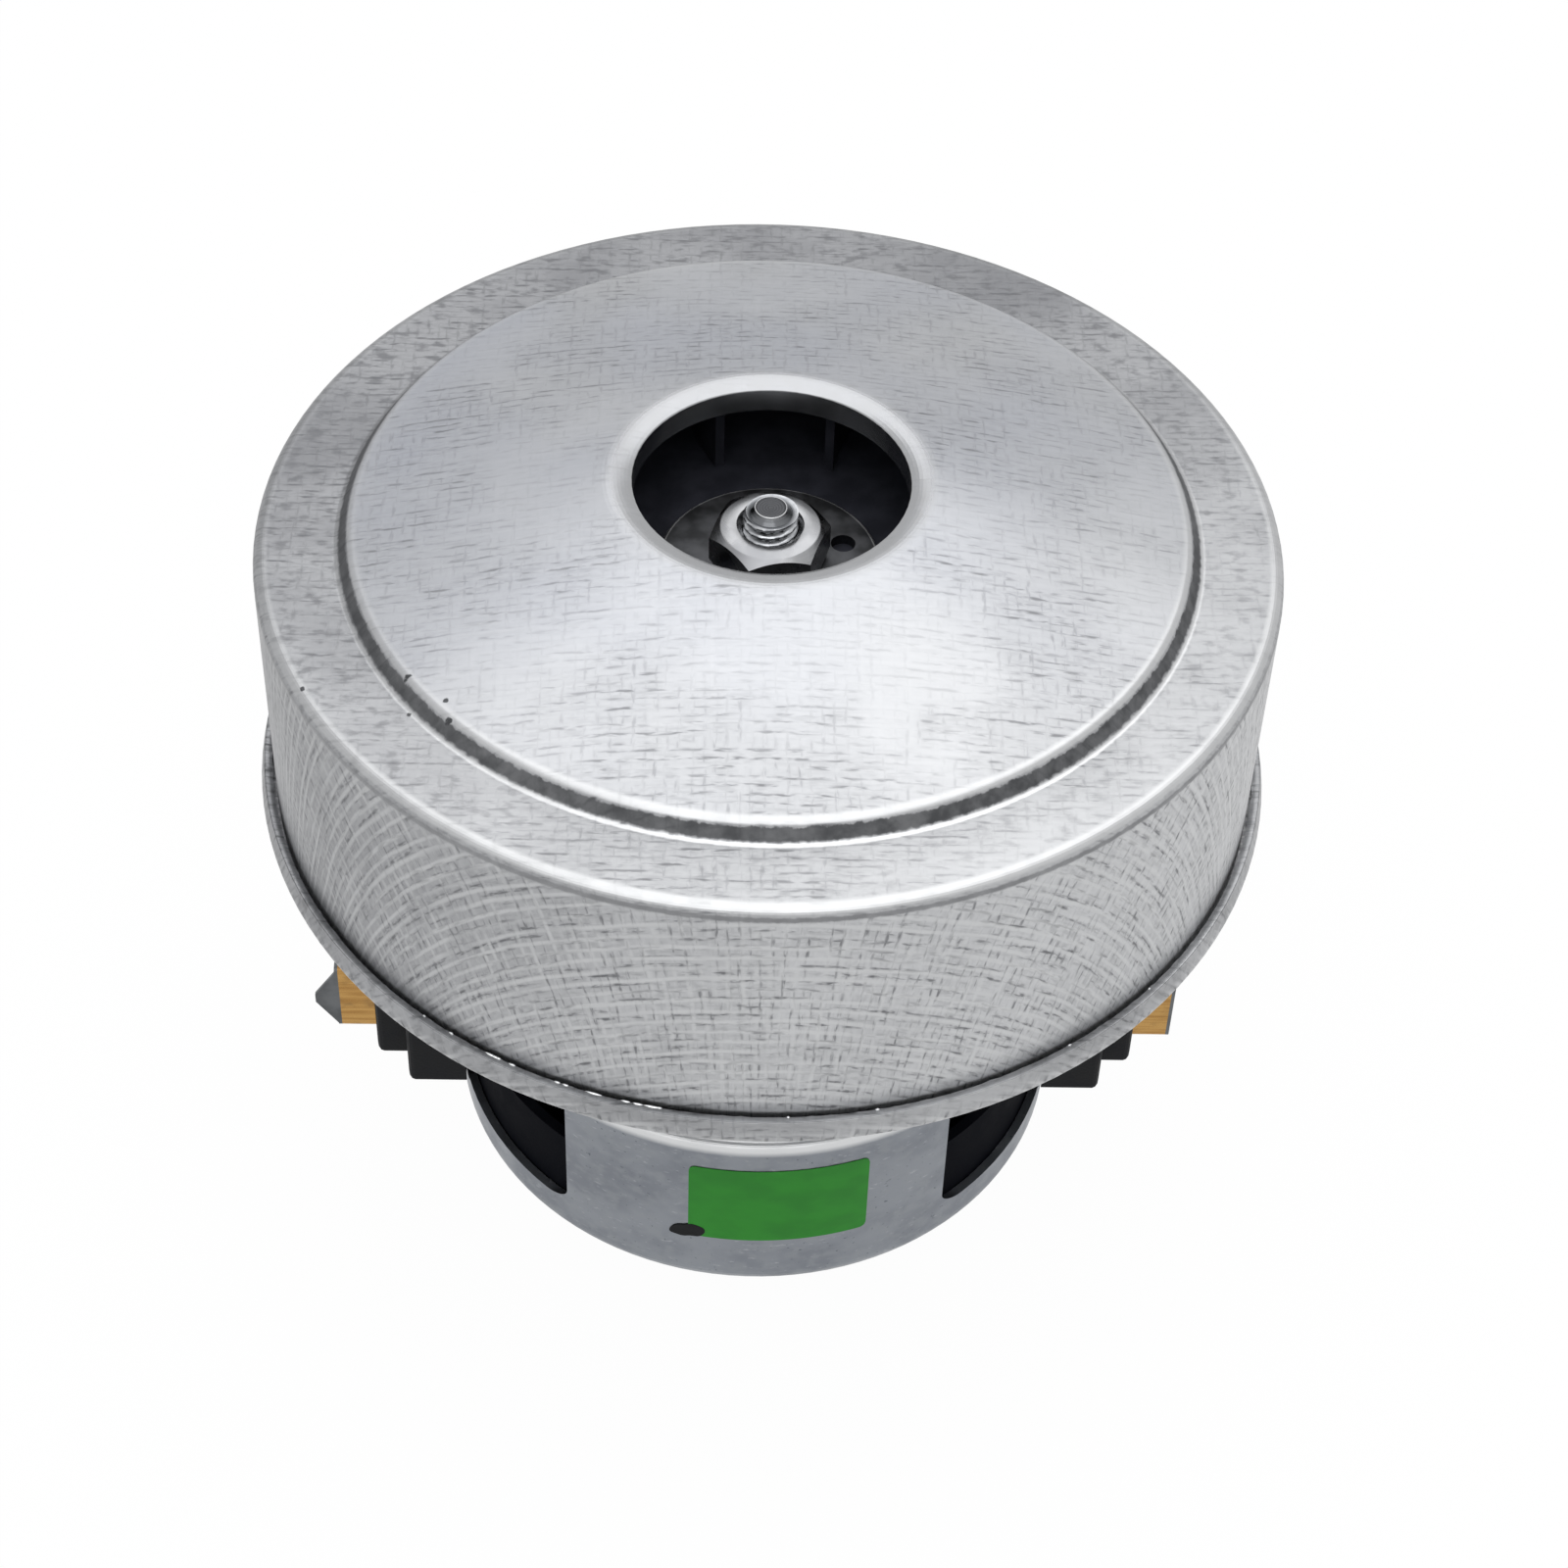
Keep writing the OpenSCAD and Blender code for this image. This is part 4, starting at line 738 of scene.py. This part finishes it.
def all_screws():
    """The frame's, diffuser's, field's and holders' screws, each set as one piece."""
    holder_spots = [(x, y) for x in (-30.0, 30.0) for y in (-5.8, 5.8)]
    # Places, seat, length and the radii of shank and head
    sets = {
        "frame_screws": (around(46.7, 45, 135, 225, 315), 73.3, 6.0, 2.0, 3.5),
        "diffuser_screws": (around(55.3, 30, 150, 270), 74.5, 9.0, 1.5, 2.7),
        "stator_bolts": (around(36.95, 0, 180), stack_foot, 39.91, 2.0, 3.25),
        "holder_screws": (holder_spots, frame_end, 6.0, 1.5, 2.7),
    }
    for name, (spots, seat, length, shank_r, head_r) in sets.items():
        bm = bmesh.new()
        for x, y in spots:
            recessed_screw(bm, x, y, seat, length, shank_r, head_r)
        add_piece("recessed_" + name, bm, fastener_steel, "housing", [name], 40)


def rounded_loop(half_x, half_z, corner, count):
    """Evenly spaced points on a rounded rectangle, by its half sizes and corner radius."""
    sides = [2 * (half_z - corner), 2 * (half_x - corner)]
    bend = math.pi / 2 * corner
    total = 2 * sum(sides) + 4 * bend
    points = []
    for i in range(count):
        run = total * i / count
        heading = 0.0
        x = half_x
        z = -(half_z - corner)
        for leg in range(4):
            straight = sides[leg % 2]
            step = min(run, straight)
            x -= math.sin(heading) * step
            z += math.cos(heading) * step
            run -= step
            if run <= 0:
                break
            turn = min(run, bend) / corner
            x += corner * (math.cos(heading + turn) - math.cos(heading))
            z += corner * (math.sin(heading + turn) - math.sin(heading))
            heading += turn
            run -= min(run, bend)
            if run <= 0:
                break
        points.append((x, z))
    return points


def field_coils():
    """Saddle coils wound turn on turn round the two field poles; only the outer layers are drawn."""
    gauge = 0.95
    middle = (stack_foot + stack_top) / 2
    inner_half = (16.2, 14.55)
    growth = (8.0, 5.95)
    r_in = 25.5
    r_out = 33.5
    layers = 6
    outer_gaps = 8
    points = 120
    uneven = 0.08
    for name, facing in (("front", -1), ("back", 1)):
        bm = bmesh.new()
        for layer in range(layers):
            share = (layer + 0.5) / layers
            half_x = inner_half[0] + growth[0] * share
            half_z = inner_half[1] + growth[1] * share
            loop = rounded_loop(half_x, half_z, 1.0 + 3.2 * share, points)
            gaps = outer_gaps if layer == layers - 1 else 1
            for column in (i / gaps for i in range(gaps + 1)):
                r = r_in + gauge / 2 + (r_out - r_in - gauge) * column
                path = []
                for x, z in loop:
                    lift = uneven * noise.noise(Vector((x * 0.3, z * 0.3, 7.0 * layer + column)))
                    x = max(-r + 0.5, min(r - 0.5, x))
                    path.append((-facing * x, facing * math.sqrt(r * r - x * x), middle + z + lift))
                wire(bm, path, gauge / 2, 6, True)
        add_piece("wound_field_coil_" + name, bm, winding_copper, "housing",
                  ["field_coil_" + name], 60)


def armature_coils():
    """Armature coils: bars in the slots and end turns that cross over each other round the shaft."""
    slots = 22
    span = 10
    gauge = 0.95
    slot_r = 16.6
    turn_r = 8.2
    strands = 4
    turn_steps = 28
    # Radius and sideways place of a slot's bar
    bar = [(11.9, -0.8), (18.4, -0.8), (18.7, -0.4), (18.7, 0.4), (18.4, 0.8), (11.9, 0.8)]
    bar_ends = (stack_foot - 0.8, stack_foot + 0.2, stack_top - 0.2, stack_top + 0.8)
    sweep = 2 * math.pi * span / slots
    bm = bmesh.new()
    for i in range(slots):
        start = 2 * math.pi * i / slots
        crown = 1.2 + 4.0 * ((i * 5) % slots) / slots
        for end, face in ((1, stack_top), (-1, stack_foot)):
            for strand in range(strands):
                out = 0.9 * (strand % 2)
                rise = 0.85 * (strand // 2)
                path = [(slot_r - out, start, -1.0)]
                for k in range(turn_steps + 1):
                    s = k / turn_steps
                    swing = abs(2 * s - 1)
                    r = turn_r + 1.4 * out + (slot_r - turn_r - 2.4 * out) * swing ** 1.6
                    lift = 0.6 + (crown + rise) * min(1.0, 2.6 * math.sin(math.pi * s) ** 0.8)
                    path.append((r, start + sweep * s, lift))
                path.append((slot_r - out, start + sweep, -1.0))
                points = [(r * math.cos(a), r * math.sin(a), face + end * z) for r, a, z in path]
                wire(bm, points, gauge / 2, 5, False)
        ring = [(r * math.cos(start) - t * math.sin(start), r * math.sin(start) + t * math.cos(start))
                for r, t in bar]
        skin(bm, [[(x, y, z) for x, y in ring] for z in bar_ends])
    add_piece("wound_armature_coils", bm, winding_copper, "rotor",
              ["armature_winding"], 60)


def brush_coils():
    """Coil springs that press on the brushes. Each is drawn at one fixed length, though the real ones close
    up as the brushes slide back into their tubes.
    """
    wire_r = 0.3
    turns = 12
    steps = 24 * turns
    for name, side in (("left", -1), ("right", 1)):
        low, high = (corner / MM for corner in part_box(f"brush_spring_{name}"))
        near, far = sorted((abs(low.x), abs(high.x)))
        radius = (high.y - low.y) / 2 - wire_r
        middle = (low.z + high.z) / 2
        path = []
        for i in range(steps + 1):
            share = i / steps
            a = 2 * math.pi * turns * share
            # The end turns lie closer than the middle ones
            along = share - 0.5 * math.sin(2 * math.pi * share) / (2 * math.pi)
            x = near + wire_r + (far - near - 2 * wire_r) * along
            path.append((side * x, radius * math.cos(a), middle + radius * math.sin(a)))
        bm = bmesh.new()
        wire(bm, path, wire_r, 8, False)
        piece = add_piece(f"brush_coil_{name}", bm, fastener_steel, "housing",
                          [f"brush_spring_{name}"], 60)
        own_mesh(piece)


def rim_edge():
    """The dish rim's sheared top edge, with a fine wavy corner."""
    segments = 720
    tear_r = 60

    def tear(a, seed):
        spot = Vector((math.cos(a) * tear_r, math.sin(a) * tear_r, seed))
        return max(0.0, noise.noise(spot) + 0.35 * noise.noise(spot * 3.1))

    levels = [
        (lambda a: rim_in_r + 0.12, lambda a: rim_top - 0.5),
        (lambda a: rim_in_r - 0.03, lambda a: rim_top - 0.1),
        (lambda a: rim_in_r - 0.06 - 0.1 * tear(a, 1.0), lambda a: rim_top + 0.04 + 0.1 * tear(a, 1.0)),
        (lambda a: rim_in_r + 0.2, lambda a: rim_top + 0.12 + 0.04 * tear(a, 5.0)),
        (lambda a: rim_in_r + 0.8, lambda a: rim_top + 0.25 + 0.03 * tear(a, 9.0)),
        (lambda a: rim_in_r + 1.0, lambda a: rim_top + 0.16),
        (lambda a: rim_in_r + 1.04, lambda a: rim_top - 0.1),
    ]
    bm = bmesh.new()
    skin(bm, [turned_ring(z, segments, r) for r, z in levels], looped=True)
    add_piece("rim_edge", bm, galvanised_dish, "housing", sharp_angle=50)


def rim_burrs():
    """Bright slivers that shearing left on the rim's inner corner, mostly at the front left."""
    r = rim_in_r + 0.02
    z = rim_top + 0.14
    burr_r = 0.17
    uneven = 0.02
    spots = [(draw.uniform(238, 270), draw.uniform(0.6, 2.4)) for i in range(10)]
    spots += [(draw.uniform(215, 320), draw.uniform(0.4, 1.0)) for i in range(7)]
    bm = bmesh.new()
    for middle, length in spots:
        half = math.degrees(length / 2 / r)
        rings = []
        for k in range(7):
            s = -1 + k / 3
            a = math.radians(middle + half * s)
            size = burr_r * math.sqrt(max(0.03, 1 - s * s)) + uneven * draw.uniform(-1, 1) * (1 - s * s)
            ring = [(r + size * math.cos(b), z + 0.8 * size * math.sin(b))
                    for b in (math.pi * i / 3 for i in range(6))]
            rings.append([(x * math.cos(a), x * math.sin(a), y) for x, y in ring])
        skin(bm, rings)
    add_piece("rim_burrs", bm, burr_steel, "housing", sharp_angle=70)


def curved_patch(bm, outline, lift, thickness):
    """A thin sheet on the frame, from columns of (angle in degrees from the front, lowest, highest)."""
    inner = frame_r + lift
    outer = inner + thickness
    rings = []
    for angle, low, high in outline:
        a = math.radians(angle)
        column = [(inner, low), (outer, low), (outer, high), (inner, high)]
        rings.append([(r * math.sin(a), -r * math.cos(a), z) for r, z in column])
    skin(bm, rings)


def bare_sticker():
    """A bare green sticker with rounded corners on the front of the frame."""
    left, right = -12.4, 20.8
    low, high = 18.6, 33.9
    corner = 1.0
    count = 48
    degree = math.radians(1) * frame_r
    columns = []
    spots = [left + (right - left) * i / count for i in range(count + 1)]
    for i in range(1, 7):
        spots += [left + corner / degree * i / 7, right - corner / degree * i / 7]
    for angle in sorted(spots):
        edge = min(angle - left, right - angle) * degree
        short = max(0.0, corner - edge)
        inset = corner - math.sqrt(max(0.0, corner ** 2 - short ** 2))
        columns.append((angle, low + inset, high - inset))
    bm = bmesh.new()
    curved_patch(bm, columns, 0.01, 0.08)
    add_piece("bare_green_sticker", bm, sticker_green, "housing")


def ink_blot():
    """A short stroke of marker ink over the sticker's lower corner."""
    middle, height = -12.6, 19.5
    half_length = 2.5
    half_width = 1.3
    count = 32
    degree = math.radians(1) * frame_r
    columns = []
    for i in range(count + 1):
        s = -1 + 2 * i / count
        run = half_length * s
        half = half_width * max(0.02, 1 - abs(s) ** 2.6) ** 0.5 * (1 + 0.12 * s)
        mid = height + 0.5 * s - 0.2 * s * s + 0.08 * math.sin(7 * s)
        columns.append((middle + run / degree, mid - half, mid + half))
    bm = bmesh.new()
    curved_patch(bm, columns, 0.02, 0.1)
    add_piece("marker_blot", bm, marker_black, "housing")


lock_nut()
threaded_shaft()
all_screws()
field_coils()
armature_coils()
brush_coils()
rim_edge()
rim_burrs()
bare_sticker()
ink_blot()


def seen_rays(tree):
    """A mask of the rays that show a surface to the camera, straight, in metal or through glass."""
    rays = add_node(tree, "ShaderNodeLightPath").outputs
    return largest(tree, rays["Is Camera Ray"], rays["Is Glossy Ray"], rays["Is Transmission Ray"])


def pale_floor():
    """A pale floor whose white shows to the camera, in metal and in glass, and which keeps the shadow."""
    reach = 6.0
    drop = 0.00005
    white_share = 0.97
    corners = [(-reach, -reach), (reach, -reach), (reach, reach), (-reach, reach)]
    bm = bmesh.new()
    bm.faces.new([bm.verts.new((x, y, -drop)) for x, y in corners])
    mesh = bpy.data.meshes.new("pale_floor")
    bm.to_mesh(mesh)
    bm.free()
    floor = bpy.data.objects.new("pale_floor", mesh)
    bpy.context.scene.collection.objects.link(floor)
    material, tree, shader = new_finish("pale_paper", "#F7F7F7", 0.9)
    share = grade(tree, seen_rays(tree), 0.0, white_share)
    white = add_node(tree, "ShaderNodeEmission", {"Color": (1, 1, 1, 1), "Strength": 1.0})
    mixed = add_node(tree, "ShaderNodeMixShader",
                     links={0: share, 1: shader.outputs[0], 2: white.outputs[0]})
    tree.links.new(mixed.outputs[0], tree.nodes["Material Output"].inputs["Surface"])
    mesh.materials.append(material)


def studio_light():
    """Soft studio light: an even surround that looks white, and a large softbox overhead."""
    world = bpy.data.worlds.new("studio_surround")
    bpy.context.scene.world = world
    world.use_nodes = True
    tree = world.node_tree
    even = tree.nodes["Background"]
    even.inputs["Color"].default_value = linear("#F2F4F7")
    even.inputs["Strength"].default_value = 0.7
    white = add_node(tree, "ShaderNodeBackground", {"Color": (1, 1, 1, 1), "Strength": 1.0})
    mixed = add_node(tree, "ShaderNodeMixShader",
                     links={0: seen_rays(tree), 1: even.outputs[0], 2: white.outputs[0]})
    tree.links.new(mixed.outputs[0], tree.nodes["World Output"].inputs["Surface"])
    lamp = bpy.data.lights.new("overhead_softbox", "AREA")
    lamp.shape = "RECTANGLE"
    lamp.size = 1.05
    lamp.size_y = 2.25
    lamp.energy = 8.9
    holder = bpy.data.objects.new("overhead_softbox", lamp)
    holder.location = (0.0, -0.1, 1.0)
    holder.rotation_euler.z = math.radians(-10)
    bpy.context.scene.collection.objects.link(holder)


def photo_camera():
    """Camera at the photograph's angle, found by fitting the cover's circles and the frame's edges."""
    place = Vector((-7.57, -318.16, 393.67)) * MM
    down = math.radians(45.96)
    yaw = math.radians(1.90)
    roll = math.radians(2.22)
    ahead = Vector((math.sin(yaw) * math.cos(down), math.cos(yaw) * math.cos(down), -math.sin(down)))
    right = ahead.cross(Vector((0, 0, 1))).normalized()
    up = right.cross(ahead)
    across = math.cos(roll) * right + math.sin(roll) * up
    upward = math.cos(roll) * up - math.sin(roll) * right
    data = bpy.data.cameras.new("photo_camera")
    data.sensor_width = 36.0
    data.lens = 77.11
    data.clip_start = 0.01
    data.clip_end = 20.0
    camera = bpy.data.objects.new("photo_camera", data)
    basis = Matrix((across, upward, -ahead)).transposed().to_4x4()
    camera.matrix_world = Matrix.Translation(place) @ basis
    bpy.context.scene.collection.objects.link(camera)
    bpy.context.scene.camera = camera


pale_floor()
studio_light()
photo_camera()
bpy.context.scene.view_settings.view_transform = "Standard"
